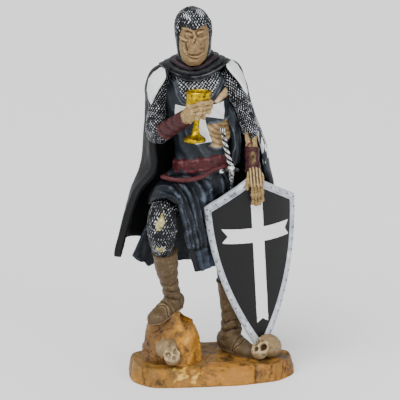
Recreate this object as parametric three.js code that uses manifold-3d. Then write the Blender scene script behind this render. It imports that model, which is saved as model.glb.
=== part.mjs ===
// A painted cast-resin statuette of a skeleton knight. The knight stands with one foot on a rock, holds a
// goblet before the chest and rests the other hand on a tall shield. Plinth, rock, skulls and figure are
// one casting, and the shield is a second casting set into a notch under the hand. Millimetres, +Z up,
// the front faces -Y, and the origin is the middle of the plinth's underside.
import * as THREE from "three";
import Module from "manifold-3d";

const wasm = await Module();
wasm.setup();

// Driving dimensions
const figureHeight = 228; // plinth top to the crown of the hood
const plinthHeight = 11;
const plinthLength = 108;
const plinthDepth = 63;
const plinthBevel = 2.2; // how far the top edge stands in from the foot
const plinthFrontSlope = 7; // further set-back of the top edge along the front
const capeThickness = 2.6;
const skirtThickness = 2.6;
const shieldLength = 126.5;
const shieldCorner = 105.9; // height of the corners, where the sides meet the gabled top
const shieldWidth = 62.6; // along the curved face
const shieldThickness = 3.6;
const shieldRimWidth = 4.4;
const shieldRimHeight = 0.9;
const shieldCurve = 45; // radius of the face, bent round an upright axis
const shieldClearance = 0.35; // glue gap between the shield and what it is set into
const gobletHeight = 31.5;
const gobletRimRadius = 7.9;
const gobletFootRadius = 6.8;
const gobletWall = 1.3;
const gobletBowlDepth = 8;

// The pose is drawn on a figure 228 tall and is scaled with figureHeight. Its heights count from the
// plinth's top.
const scale = figureHeight / 228;
const onFigure = (x, y, z) => new THREE.Vector3(x * scale, y * scale, plinthHeight + z * scale);

const wave = (turns, phase = 0) => Math.sin(2 * Math.PI * (turns + phase));
const ease = (t) => t * t * (3 - 2 * t);
const clamp = (t) => Math.min(1, Math.max(0, t));
const mix = (a, b, t) => a + (b - a) * t;

// Numbers between stations, each on a smooth curve through its neighbours, at t from 0 to 1.
function between(stations, t) {
  const last = stations.length - 1;
  const i = Math.min(Math.floor(clamp(t) * last), last - 1);
  const f = clamp(t) * last - i;
  const [a, b, c, d] = [-1, 0, 1, 2].map((k) => stations[Math.min(Math.max(i + k, 0), last)]);
  return b.map((_, n) => {
    const slope = c[n] - a[n];
    const bend = 2 * a[n] - 5 * b[n] + 4 * c[n] - d[n];
    const twist = 3 * (b[n] - c[n]) + d[n] - a[n];
    return b[n] + 0.5 * f * (slope + f * (bend + f * twist));
  });
}

// A solid from points and triangles, turned the right way out.
function closed(points, triangles) {
  const vertProperties = new Float32Array(points.flatMap((p) => [p.x, p.y, p.z]));
  const make = (flip) =>
    new wasm.Manifold(
      new wasm.Mesh({
        numProp: 3,
        vertProperties,
        triVerts: new Uint32Array(triangles.flatMap(([a, b, c]) => (flip ? [a, c, b] : [a, b, c]))),
      }),
    );
  const solid = make(false);
  return solid.volume() > 0 ? solid : make(true);
}

// A solid from rings of points, with a fan over each end, or with the last ring joined to the first.
function fromRings(rings, loop = false) {
  const sides = rings[0].length;
  const points = rings.flat();
  const triangles = [];
  for (let i = 0; i + (loop ? 0 : 1) < rings.length; i++)
    for (let j = 0; j < sides; j++) {
      const [here, next, beside] = [i * sides, ((i + 1) % rings.length) * sides, (j + 1) % sides];
      const [a, b, c, d] = [here + j, here + beside, next + beside, next + j];
      triangles.push([a, b, c], [a, c, d]);
    }
  if (loop) return closed(points, triangles);
  const ends = [
    [rings[0], 0, true],
    [rings.at(-1), (rings.length - 1) * sides, false],
  ];
  for (const [ring, start, turn] of ends) {
    const middle = ring.reduce((sum, p) => sum.add(p), new THREE.Vector3()).divideScalar(sides);
    points.push(middle);
    for (let j = 0; j < sides; j++) {
      const [a, b] = [start + j, start + ((j + 1) % sides)];
      triangles.push(turn ? [points.length - 1, b, a] : [points.length - 1, a, b]);
    }
  }
  return closed(points, triangles);
}

// A limb swept along a path. A station is [x, y, z, half width, half depth] on the figure, side is the
// direction of its width, flat cuts the underside off at that share of the depth, and relief(t, angle)
// swells the section, with angle 0 at the front and a quarter turn at the side.
function limb(stations, options = {}) {
  const { rings = 8, sides = 10, side = [1, 0, 0], flat = 1, relief = () => 0, place = onFigure } = options;
  const at = (t) => (typeof stations === "function" ? stations(t) : between(stations, t));
  const made = [];
  for (let i = 0; i <= rings; i++) {
    const t = i / rings;
    const [x, y, z, wide, deep] = at(t);
    const [before, after] = [at(Math.max(t - 0.01, 0)), at(Math.min(t + 0.01, 1))];
    const along = new THREE.Vector3(...[0, 1, 2].map((k) => after[k] - before[k])).normalize();
    const through = new THREE.Vector3(...side).cross(along).normalize();
    const across = along.clone().cross(through);
    made.push(
      Array.from({ length: sides }, (_, j) => {
        const angle = (2 * Math.PI * j) / sides;
        const swell = 1 + relief(t, angle);
        const w = wide * swell * Math.sin(angle);
        const d = deep * Math.max(swell * Math.cos(angle), -flat);
        return place(
          x + across.x * w + through.x * d,
          y + across.y * w + through.y * d,
          z + across.z * w + through.z * d,
        );
      }),
    );
  }
  return fromRings(made);
}

// An ellipsoid: centre, half sizes, and an optional turn about its own middle.
function lump(centre, half, { rings = 6, sides = 10, turn = null, place = onFigure } = {}) {
  const made = [];
  for (let i = 0; i <= rings; i++) {
    const tilt = Math.PI * mix(0.04, 0.96, i / rings);
    made.push(
      Array.from({ length: sides }, (_, j) => {
        const angle = (2 * Math.PI * j) / sides;
        const unit = new THREE.Vector3(
          Math.sin(tilt) * Math.sin(angle),
          -Math.sin(tilt) * Math.cos(angle),
          Math.cos(tilt),
        );
        const p = unit.multiply(new THREE.Vector3(...half));
        if (turn) p.applyEuler(turn);
        return place(centre[0] + p.x, centre[1] + p.y, centre[2] + p.z);
      }),
    );
  }
  return fromRings(made);
}

// A bent sheet of even thickness. middle(u, v) gives a point on the figure, for u and v from 0 to 1.
function sheet(middle, columns, rows, thickness) {
  const at = (i, j) => middle(clamp(i / columns), clamp(j / rows));
  const front = [];
  const back = [];
  for (let j = 0; j <= rows; j++)
    for (let i = 0; i <= columns; i++) {
      const du = at(Math.min(i + 0.5, columns), j).sub(at(Math.max(i - 0.5, 0), j));
      const dv = at(i, Math.min(j + 0.5, rows)).sub(at(i, Math.max(j - 0.5, 0)));
      const out = du.cross(dv).normalize().multiplyScalar(thickness / 2);
      const p = at(i, j);
      front.push(p.clone().add(out));
      back.push(p.clone().sub(out));
    }
  const count = front.length;
  const wide = columns + 1;
  const triangles = [];
  for (let j = 0; j < rows; j++)
    for (let i = 0; i < columns; i++) {
      const a = j * wide + i;
      const b = count + a;
      triangles.push([a, a + 1, a + wide + 1], [a, a + wide + 1, a + wide]);
      triangles.push([b, b + wide + 1, b + 1], [b, b + wide, b + wide + 1]);
    }
  const edge = [];
  for (let i = 0; i < columns; i++) edge.push([i, i + 1]);
  for (let j = 0; j < rows; j++) edge.push([j * wide + columns, (j + 1) * wide + columns]);
  for (let i = columns; i > 0; i--) edge.push([rows * wide + i, rows * wide + i - 1]);
  for (let j = rows; j > 0; j--) edge.push([j * wide, (j - 1) * wide]);
  for (const [a, b] of edge) triangles.push([b, a, count + a], [b, count + a, count + b]);
  return closed([...front, ...back], triangles);
}

// A point on a net of control points, smooth both ways.
const onNet = (net, u, v) => between(net.map((row) => between(row, u)), v);

// Plinth: an oval slab of rough ground, its front edge sloped and broken into blocks.
function plinth() {
  const around = 32;
  const outline = (angle, inset, slope) => {
    const front = Math.max(0, Math.cos(angle)) ** 1.5;
    const turns = angle / (2 * Math.PI);
    const rough = 0.7 * wave(7 * turns, 0.2) + 0.5 * wave(12 * turns, 0.6);
    const shrink = inset - (inset > 0 ? rough : 0.4 * rough);
    const x = (plinthLength / 2 - shrink) * Math.sin(angle);
    const y = -(plinthDepth / 2 - shrink - slope * front) * Math.cos(angle);
    const set = 0.36 * Math.min(0, x + 14) + 3.4 * ease(clamp((x + 18) / 16));
    return [x, y + set * Math.sqrt(Math.max(0, Math.cos(angle)))];
  };
  const rings = [
    [0, 0, 0],
    [0.55, 0.45 * plinthBevel, 0.3 * plinthFrontSlope],
    [1, plinthBevel, plinthFrontSlope],
  ].map(([level, inset, slope]) =>
    Array.from({ length: around }, (_, j) => {
      const angle = (2 * Math.PI * j) / around;
      const [x, y] = outline(angle, inset, slope);
      const dip = level > 0 && level < 1 ? 0.5 * wave((5 * angle) / (2 * Math.PI)) : 0;
      return new THREE.Vector3(x, y, level * plinthHeight + dip);
    }),
  );
  return fromRings(rings);
}

// Rock: a boulder on the plinth with a sloping top, which carries the raised foot.
function rock() {
  const stations = [
    [-25, -4, -2, 19.7, 15],
    [-25.4, -4, 4, 19, 14.4],
    [-26.6, -4.3, 12, 18, 13.6],
    [-27.8, -5, 20, 15.8, 12.8],
    [-26.8, -5, 28.6, 13.6, 11.8],
    [-24.4, -4, 32, 6.5, 6.5],
  ];
  const facets = (t, angle) => 0.05 * Math.sin(3 * angle + 5 * t) + 0.045 * Math.sin(5 * angle - 9 * t + 1);
  const slope = (x, y, z) => onFigure(x, y, z + clamp(z / 25) * (0.16 * (x + 26) + 0.13 * (y + 6)));
  return limb(stations, { rings: 5, sides: 13, relief: facets, place: slope });
}

// Skull lying on the plinth: half width of the brain case, and a turn. The brow faces -Y before the turn.
function skull(centre, half, turn) {
  const place = (x, y, z) => {
    const p = new THREE.Vector3(x, y, z).multiplyScalar(half).applyEuler(turn);
    return onFigure(centre[0] + p.x, centre[1] + p.y, centre[2] + p.z);
  };
  const part = (at, size, rings = 3, sides = 5) => lump(at, size, { rings, sides, place });
  let made = part([0, 0.25, 0.25], [1, 1.22, 1], 5, 9);
  made = made.add(part([0, -0.7, -0.5], [0.74, 0.5, 0.76], 4, 7));
  for (const s of [-1, 1]) made = made.subtract(part([0.36 * s, -1.16, -0.02], [0.27, 0.42, 0.25]));
  return made;
}

// Boots: a foot swept from heel to toe, as wide as its side direction, and a wrinkled shaft.
const wrinkles = (t, angle) => 0.05 * wave(3.2 * t, 0.12 * Math.sin(angle + 1)) * clamp(6 * t);
function boot(foot, shaft, side) {
  return limb(foot, { rings: 6, sides: 8, side, flat: 0.62 }).add(
    limb(shaft, { rings: 7, sides: 8, relief: wrinkles }),
  );
}
function standingLeg() {
  const foot = [
    [6.4, 17.6, 2.4, 3, 4],
    [8.6, 15.4, 4.6, 5.2, 8],
    [13, 11.4, 5.4, 6, 9.4],
    [17.6, 7, 4.2, 6.4, 7.4],
    [21.6, 3, 3.1, 6.6, 5.6],
    [25.8, -1.2, 2.3, 5.2, 4.4],
    [28.2, -3.7, 1.6, 1.7, 2],
  ];
  const shaft = [
    [12.2, 13, 4, 6.8, 7],
    [13, 13, 14, 6.8, 7],
    [13, 13, 24, 6.6, 7],
    [12.2, 12.6, 36, 7.2, 7.4],
    [11.6, 12, 48.5, 8.2, 8.2],
  ];
  const leg = [
    [11.4, 11.5, 46, 7, 7],
    [10.5, 9.5, 64, 8.4, 8.4],
    [6, 7, 86, 10.5, 10],
    [0, 5, 106, 11.5, 11.5],
  ];
  return boot(foot, shaft, [-0.7, -0.71, 0]).add(limb(leg, { rings: 3, sides: 6 }));
}
function raisedLeg() {
  const foot = [
    [-20.2, 0.9, 36, 2.8, 4],
    [-21.8, -1.2, 37, 4.8, 6.6],
    [-24.8, -4.6, 37.2, 5.5, 7.8],
    [-29.4, -10, 35, 5.9, 6.4],
    [-33.6, -15, 32.6, 6.3, 5],
    [-37.2, -19.2, 30.8, 5.2, 4.2],
    [-39.4, -21.8, 29.6, 1.8, 2],
  ];
  const shaft = [
    [-24.9, -4.4, 37, 5.8, 6],
    [-25.6, -8, 44, 5.6, 6],
    [-26.5, -12, 50.5, 5.3, 5.8],
    [-27.6, -16.2, 58, 6, 6.4],
    [-28.6, -20.4, 66, 7.3, 7.3],
    [-29.3, -23.4, 74, 7.6, 7.6],
    [-29.7, -24.2, 77.5, 7.8, 7.8],
  ];
  const thigh = [
    [-30.4, -24, 73, 6.8, 6.8],
    [-31.2, -26, 82, 7, 7.6],
    [-31.2, -27, 91, 9, 9.2],
    [-30.6, -24.4, 99, 9, 9.2],
    [-28, -18, 104, 9.8, 9.6],
    [-22, -7, 108, 10.8, 10.4],
    [-14, 4, 111, 11.5, 11.5],
  ];
  return boot(foot, shaft, [-0.75, 0.65, 0]).add(limb(thigh, { rings: 8, sides: 9 }));
}

// Front of the skirt: cloth dragged from the hip over the raised thigh, falling in long folds to the hem.
// The first row of the net is the lifted edge over the thigh, the last the fall in front of the other hip.
const skirtFrontNet = [
  [
    [-39.5, -9, 104], [-37.4, -22, 109.6], [-30.4, -30, 113], [-22.2, -29, 109],
    [-18.6, -26, 96], [-15.4, -16, 79], [-10.4, -8, 59.5],
  ],
  [
    [-38.5, -5, 109], [-33, -16, 117], [-25, -25, 117.5], [-18, -25, 108],
    [-14.2, -21.5, 94], [-10.4, -13.5, 78], [-6.6, -7, 59.5],
  ],
  [
    [-33, -3, 116.5], [-24, -12, 120.5], [-15, -18.6, 116], [-10.6, -17.6, 105],
    [-8.4, -15, 94], [-5.2, -10.4, 79], [-2.4, -5.4, 61],
  ],
  [
    [-23, -2, 121.5], [-13, -9.5, 122], [-5.5, -11.6, 115.5], [-2.6, -9.4, 104],
    [-0.4, -7, 92], [1.6, -5, 78], [2.6, -2.8, 62],
  ],
  [
    [-8, -2, 124], [4, -4, 123.5], [10, -4.5, 115], [11.6, -2, 104],
    [14, 0.6, 92], [16.6, 3.4, 78], [18.6, 6, 62],
  ],
];
function skirtFront() {
  const folds = 4.5;
  return sheet(
    (u, v) => {
      const [x, y, z] = onNet(skirtFrontNet, v, u);
      const depth = 1.3 * ease(clamp(3 * v)) * wave(folds * u, 0.1 * Math.sin(5 * v)) * (1 - 0.5 * ease(v));
      return onFigure(x + 0.4 * depth, y - depth, z + 0.6 * depth * (1 - v));
    },
    20,
    6,
    skirtThickness * scale,
  );
}

// Rear of the skirt: hangs from the hips behind both legs, open at the side of the raised leg.
const skirtBackNet = [
  [[-27, 2, 114], [-23, 13, 117], [-9, 16.5, 118], [5, 13, 118], [9.5, 5, 118], [7, -3, 118]],
  [[-39, 4, 92], [-35, 18, 90], [-10, 25, 88], [14, 20, 90], [20, 10, 92], [16, 0, 93]],
  [[-51.6, 8.6, 64.6], [-40, 18.6, 57], [-14, 25, 59], [16, 24, 60], [26, 13, 62], [21, 4, 63]],
];
function skirtBack() {
  const folds = 3.5;
  return sheet(
    (u, v) => {
      const [x, y, z] = onNet(skirtBackNet, u, v);
      const depth = 1.5 * v * wave(folds * u, 0.3);
      return onFigure(x, y + depth, z);
    },
    14,
    3,
    skirtThickness * scale,
  );
}

// Body under the surcoat, from the hips to the neck.
const bodyStations = [
  [-9, 5, 104, 19, 12.5],
  [-8.5, 5, 114, 20, 13.5],
  [-6.8, 4.2, 124, 17.4, 12.6],
  [-6, 4, 134, 16.3, 11.4],
  [-7, 4.5, 147, 17.8, 12],
  [-8.6, 5, 161, 20, 13],
  [-10, 6, 173, 21.4, 13],
  [-10.6, 7, 182, 20, 11.5],
  [-11, 7.5, 188, 14, 9.5],
  [-11.4, 6.5, 195, 8, 8],
];
const body = () => limb(bodyStations, { rings: 8, sides: 12 });

// Broad waist belt and the sword belt slung below it, both higher on the sword side.
function belts() {
  const waist = limb(
    [
      [-6.1, 4, 123.6, 14, 9.6],
      [-6.2, 4, 125, 18.4, 13.6],
      [-6.8, 4, 133, 17.8, 13],
      [-6.9, 4, 134.4, 13, 8.6],
    ],
    { rings: 3, sides: 16, place: (x, y, z) => onFigure(x, y, z + 0.09 * (x + 7)) },
  );
  const slung = limb(
    [
      [-28, 8, 120, 1.2, 1.8],
      [-31, -4, 120.4, 1.2, 1.8],
      [-30, -14, 121.8, 1.2, 1.8],
      [-24, -18.6, 121.4, 1.2, 1.8],
      [-16, -18.6, 120.8, 1.2, 1.8],
      [-7, -15.4, 122.4, 1.2, 1.8],
      [0.5, -12, 126.4, 1.2, 1.8],
      [8, -8, 128.4, 1.2, 1.8],
      [12, 4, 128, 1.2, 1.8],
    ],
    { rings: 9, sides: 4, side: [0.1, -0.9, 0.3] },
  );
  return waist.add(slung);
}

// Mail sleeves, bare forearm bones, leather bracers and bony hands.
function rightArm() {
  const sleeve = [
    [-28, 6, 182.5, 5, 6],
    [-32.6, 3, 176.5, 5.6, 6.4],
    [-34.2, 0, 166, 5.4, 6.2],
    [-35.2, -2, 156, 5.8, 6.4],
    [-35, -4.6, 148.6, 5.9, 6],
    [-33.4, -7, 144.6, 3.2, 3.2],
  ];
  const forearm = [
    [-36, -3, 146.4, 4.4, 4.4],
    [-32.6, -6.4, 148.8, 5.8, 5.5],
    [-29.2, -10, 151.4, 5.1, 5.1],
    [-22.4, -16.6, 157, 4.6, 4.6],
    [-16.6, -22.4, 161.8, 4.9, 4.7],
    [-15.4, -23.6, 162.8, 3.4, 3.4],
  ];
  return limb(sleeve, { rings: 6, sides: 8 }).add(limb(forearm, { rings: 6, sides: 8, side: [0, 0, 1] }));
}
// The left hand rests on the shield, so the arm from the shoulder down follows the shield's peak.
const palmSeat = [25.15, -18.56, 124.9]; // where the drawn palm meets the peak
const shoulderLevel = 184;
const wristLevel = 140;
function towardsShield(x, y, z) {
  const reach = shieldPlace(0, shieldLength, 0).sub(onFigure(...palmSeat));
  const share = clamp((shoulderLevel - z) / (shoulderLevel - wristLevel));
  return onFigure(x, y, z).addScaledVector(reach, share);
}
function leftArm() {
  const sleeve = [
    [6, 7, shoulderLevel, 5, 5.6],
    [11, 4.6, 179.5, 6, 6.6],
    [15.7, 2.4, 171.5, 5.3, 6.2],
    [19.7, 1.6, 164.6, 5.2, 6],
    [22.2, -0.6, 156.6, 5, 5.6],
    [24.1, -3, 149.8, 4.6, 5],
    [24.2, -3.3, 148.8, 3.6, 3.8],
  ];
  const bracer = [
    [25.6, -7, 140.4, 3, 3],
    [25.6, -7.3, 139.4, 4, 4],
    [25.7, -9.8, 132.4, 4.1, 4],
    [25.9, -12.4, 126.6, 5.2, 4.6],
    [25.9, -12.8, 125.6, 3.6, 3.4],
  ];
  const place = towardsShield;
  let arm = limb(sleeve, { rings: 7, sides: 8, place }).add(limb(bracer, { rings: 5, sides: 8, place }));
  for (const s of [-1, 1])
    arm = arm.add(
      limb(
        [
          [24.8 + 2.2 * s, -2.8, 151, 1.8, 1.8],
          [25.2 + 2.2 * s, -5, 145.4, 1.6, 1.6],
          [25.6 + 1.8 * s, -7.4, 138.4, 1.8, 1.8],
        ],
        { rings: 2, sides: 5, place },
      ),
    );
  return arm;
}

// Goblet: a turned shape with an open bowl, leaning a little towards the shield side. Its outside is given
// as pairs of a radius and a share of the height, and a place on it is a turn, a radius and a height.
const gobletFoot = onFigure(-10.8, -25, 147.6);
const gobletLean = 0.08; // sideways, in each unit of height
const gobletBase = [
  [gobletFootRadius, 0],
  [gobletFootRadius, 0.035],
  [3.6, 0.13],
  [1.9, 0.26],
  [2, 0.42],
];
const gobletCup = [
  [0.63 * gobletRimRadius, 0.54],
  [0.9 * gobletRimRadius, 0.68],
  [gobletRimRadius, 1],
];
const onGoblet = (angle, radius, up) =>
  new THREE.Vector3(gobletLean * up, 0, up)
    .add(gobletFoot)
    .add(new THREE.Vector3(radius * Math.sin(angle), -radius * Math.cos(angle), 0));
function goblet() {
  const inner = gobletRimRadius - gobletWall;
  const inside = [
    [inner, 1],
    [inner - 0.7, 1 - (0.7 * gobletBowlDepth) / gobletHeight],
    [inner - 3, 1 - gobletBowlDepth / gobletHeight],
  ];
  const around = 12;
  const turns = Array.from({ length: around }, (_, j) => (2 * Math.PI * j) / around);
  const profile = [...gobletBase, ...gobletCup, ...inside];
  const ring = ([radius, share]) => turns.map((angle) => onGoblet(angle, radius, share * gobletHeight));
  return fromRings(profile.map(ring));
}

// Right hand: the palm beside the goblet, with four fingers bent round the front of its bowl.
function rightHand() {
  const palm = [
    [-17, -22, 161.4, 3.6, 4],
    [-15.6, -25.8, 163.8, 3.6, 4.8],
    [-14, -29.2, 166, 3.1, 5.4],
    [-12.2, -31.8, 167.4, 2.4, 5.4],
    [-10.8, -33, 168, 1, 4],
  ];
  let hand = limb(palm, { rings: 4, sides: 8 });
  const fingerHalf = 1.6;
  for (let k = 0; k < 4; k++) {
    const up = (0.5 + 0.09 * k) * gobletHeight;
    const reach = [0.24, 0.38, 0.44, 0.4][k];
    const out = gobletRimRadius + [-0.3, 0.3, 0.6, 0.7][k];
    hand = hand.add(
      limb(
        (t) => {
          const knuckle = 0.25 * Math.cos(4 * Math.PI * t);
          const p = onGoblet(mix(-0.2, reach, t) * Math.PI, out, up + 1.1 * Math.sin(Math.PI * t));
          return [p.x, p.y, p.z, fingerHalf + knuckle, fingerHalf + 0.6 * knuckle];
        },
        { rings: 4, sides: 5, side: [0, 0, 1], place: (x, y, z) => new THREE.Vector3(x, y, z) },
      ),
    );
  }
  return hand;
}

// Left hand: laid over the top of the shield, its fingers hanging down the face.
function leftHand() {
  const palm = [
    [26, -12, 127.6, 3.4, 3],
    [26.2, -15, 128, 4.4, 3],
    [26.8, -19.6, 126.4, 5.4, 2.8],
    [27.4, -23, 121.6, 5.2, 2.3],
    [27.6, -23.6, 118.6, 3.6, 1.4],
  ];
  const place = towardsShield;
  let hand = limb(palm, { rings: 4, sides: 8, place });
  for (let k = 0; k < 4; k++) {
    const x = 24.9 + 2.2 * k;
    const tip = [106.6, 105.6, 106, 108.2][k];
    hand = hand.add(
      limb(
        (t) => {
          const knuckle = 0.2 * Math.cos(4 * Math.PI * t);
          const y = -23.4 + 2.6 * t - 0.7 * Math.sin(Math.PI * t);
          return [x + 0.3 * (k - 1.5) * (1 - t), y, mix(120.6, tip, t), 1.3 + knuckle, 1.4 + knuckle];
        },
        { rings: 2, sides: 5, place },
      ),
    );
  }
  const thumb = [
    [23.8, -19, 126, 1.6, 1.6],
    [21.8, -22, 123, 1.5, 1.5],
    [20.9, -22.8, 119.4, 1.4, 1.4],
    [21.5, -22.2, 115.6, 1, 1],
  ];
  return hand.add(limb(thumb, { rings: 3, sides: 5, place }));
}

// Sword in its belt: round pommel, twisted grip, lobed cross-guard and the head of the scabbard.
function sword() {
  const grip = [
    [7, -4.8, 150.4, 1.5, 1.5],
    [8, -5.6, 143.4, 1.7, 1.7],
    [9.6, -7, 135.2, 1.6, 1.6],
    [11.4, -8, 128, 1.8, 1.8],
  ];
  const guard = [
    [4.2, -9.4, 126.4, 1.2, 1.3],
    [5.6, -9.4, 126.6, 1.7, 1.7],
    [8, -9, 127, 1.2, 1.2],
    [11.4, -8.4, 127.4, 2.2, 2.4],
    [13.8, -8, 127.2, 1.2, 1.2],
    [15.6, -7.8, 126.8, 1.7, 1.7],
    [16.8, -7.6, 126.4, 1, 1],
  ];
  const scabbard = [
    [11.4, -8.4, 127, 2.2, 1.8],
    [12.2, -6.6, 116, 2, 1.8],
    [14.4, -2, 98, 1.6, 1.5],
  ];
  const twist = (t, angle) => 0.16 * Math.sin(2 * angle + 22 * t);
  return limb(grip, { rings: 7, sides: 5, relief: twist })
    .add(lump([6.7, -4.6, 151.6], [2.3, 2, 2.1], { rings: 3, sides: 5 }))
    .add(limb(guard, { rings: 8, sides: 5, side: [0, 0, 1] }))
    .add(limb(scabbard, { rings: 2, sides: 5 }));
}

// Cowl: a collar of cloth in three rolls round the neck, dipping to a point at the front.
function cowl() {
  const rolls = 3;
  const steps = 6;
  const around = 16;
  return fromRings(
    Array.from({ length: around }, (_, i) => {
      const angle = (2 * Math.PI * i) / around;
      const [s, c] = [Math.sin(angle), Math.cos(angle)];
      const sag = ((1 + c) / 2) ** 5;
      const at = (share, swell) => {
        const [wide, deep] = [mix(9.5, 21.4, share) + swell, mix(9, 16, share) + swell];
        const level = mix(mix(198, 191.6, share), mix(192.6, 184.4, share), sag) + 1.2 * s + swell;
        return onFigure(-11 + wide * s, 5 - deep * c, level);
      };
      const swell = (k) => 0.9 * Math.abs(wave((rolls * k) / steps / 2, 0.25)) ** 0.7;
      const outside = Array.from({ length: steps + 1 }, (_, k) => at(k / steps, swell(k)));
      return [...outside, at(0.95, -3), at(0.2, -3)];
    }),
    true,
  );
}

// Head: a mail hood with the skull's face set in its opening.
const hoodStations = [
  [-11.2, 5.5, 188, 9.6, 9.6],
  [-11.2, 5, 198, 10, 11.4],
  [-11.6, 3, 206, 10.7, 13],
  [-12.1, 1.6, 214, 11.3, 14.6],
  [-12.4, 1.4, 220, 10.4, 13.6],
  [-12.4, 2.2, 225, 6.8, 9],
  [-12.3, 2.8, 227.4, 1.2, 1.5],
];
const faceStations = [
  [-11.2, -6.8, 192.2, 3.6, 5.6],
  [-11.4, -6.4, 195.6, 7.2, 8.4],
  [-11.5, -5.6, 201, 8.7, 9.4],
  [-11.3, -5, 208, 9.3, 9.8],
  [-11.3, -3.4, 214, 9, 9.6],
  [-11.2, -1, 218, 6, 6],
];
function head() {
  // Cheekbones and chin stand out, and the cheeks and the line of the mouth are sunk between them.
  const bump = (t, angle, level, turn, tall, wide) =>
    Math.exp(-(((t - level) / tall) ** 2) - ((Math.abs(angle) - turn) / wide) ** 2);
  const features = (t, around) => {
    const angle = Math.atan2(Math.sin(around), Math.cos(around));
    const bone = 0.07 * bump(t, angle, 0.56, 0.85, 0.1, 0.35) + 0.07 * bump(t, angle, 0.1, 0, 0.1, 0.5);
    return bone - 0.07 * bump(t, angle, 0.36, 0.7, 0.12, 0.4);
  };
  let face = limb(faceStations, { rings: 7, sides: 14, relief: features });
  for (const s of [-1, 1]) {
    const socket = { rings: 3, sides: 6, turn: new THREE.Euler(0, 0.3 * s, 0) };
    face = face.subtract(lump([-11 + 4.2 * s, -15.2, 210.6], [3.3, 3.6, 2.5], socket));
  }
  face = face.add(lump([-11, -14.4, 207.4], [1.7, 1.9, 3], { rings: 3, sides: 5 }));
  return limb(hoodStations, { rings: 6, sides: 12 }).add(face);
}

// Cape: hangs from both shoulders, open in front. Each row runs from the front edge on the goblet side,
// round the back, to the front edge on the shield side, and the rows go down from the neck to the hem.
const capeNet = [
  [
    [-25, -4, 190.5], [-26, 2, 192], [-20, 10, 193], [-10, 13, 193.6],
    [0, 10, 194], [5.4, 4, 194.5], [6.4, -3, 193],
  ],
  [
    [-29, -8.4, 184], [-36.6, 1.6, 186.4], [-32, 14, 187.4], [-10, 21.5, 188.6],
    [12, 16, 189.6], [15.6, 6, 189], [11.6, -4, 187],
  ],
  [
    [-34, -8.6, 175.6], [-40.4, 2, 175.6], [-37, 17, 176], [-10, 24.5, 177],
    [17, 18, 178], [20.4, 8, 177.6], [18, -2.6, 179],
  ],
  [
    [-37.6, -4, 164.6], [-38.8, 3, 164.6], [-38.4, 19, 165], [-10, 26.5, 166],
    [20, 20, 166], [23, 11, 165.6], [22.6, 5, 166.4],
  ],
  [
    [-35.6, -5.4, 140], [-39.4, 1, 140], [-40, 21, 139], [-9, 29, 138],
    [26, 22.5, 138], [33.4, 13.6, 139], [31, 7, 139.6],
  ],
  [
    [-35.8, -6.8, 124], [-39.8, -0.6, 124], [-42.6, 21.4, 122.6], [-8.6, 30.2, 121],
    [27.8, 23.8, 121.6], [36.4, 14.6, 122.6], [33.8, 8, 123.2],
  ],
  [
    [-46.8, -8.6, 108], [-51.2, -3, 108], [-45.4, 21.6, 106], [-8, 31.5, 104],
    [30, 25, 105], [39.6, 15.6, 106], [36.6, 9, 107],
  ],
  [
    [-58.2, -12.4, 70.2], [-61.8, -7, 71], [-49, 23, 75], [-7, 33, 59],
    [31, 27, 62], [42.6, 17, 65], [40, 10, 66],
  ],
];
function cape() {
  const folds = 4;
  return sheet(
    (u, v) => {
      const [x, y, z] = onNet(capeNet, u, v);
      const depth = (0.3 + 1.6 * v) * wave(folds * u, 0.2) * ease(clamp(5 * u)) * ease(clamp(5 * (1 - u)));
      const outward = -0.6 * Math.cos(mix(-0.6, 1.1, u) * Math.PI);
      return onFigure(x + outward * depth, y + depth * Math.sin(mix(0.1, 0.9, u) * Math.PI), z);
    },
    20,
    7,
    capeThickness * scale,
  );
}

// Shield: a heater shape bent round an upright axis, with a raised rim. Its foot stands on the plinth and
// its peak reaches the palm. Places on it are across the face, up from the foot, and out from mid
// thickness.
const shieldFoot = onFigure(32.3, 2.3, 0).add(new THREE.Vector3(0, 0, shieldClearance));
const [shieldLean, shieldRoll, shieldYaw] = [8.3, -5.8, 15].map(THREE.MathUtils.degToRad);
const shieldTurn = new THREE.Quaternion().setFromEuler(
  new THREE.Euler(shieldLean, shieldRoll, shieldYaw, "ZXY"),
);
const shieldHalf = shieldWidth / 2;
function shieldPlace(across, up, out) {
  const bend = across / shieldCurve;
  const reach = shieldCurve + out;
  return new THREE.Vector3(reach * Math.sin(bend), shieldCurve - reach * Math.cos(bend), up)
    .applyQuaternion(shieldTurn)
    .add(shieldFoot);
}
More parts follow.
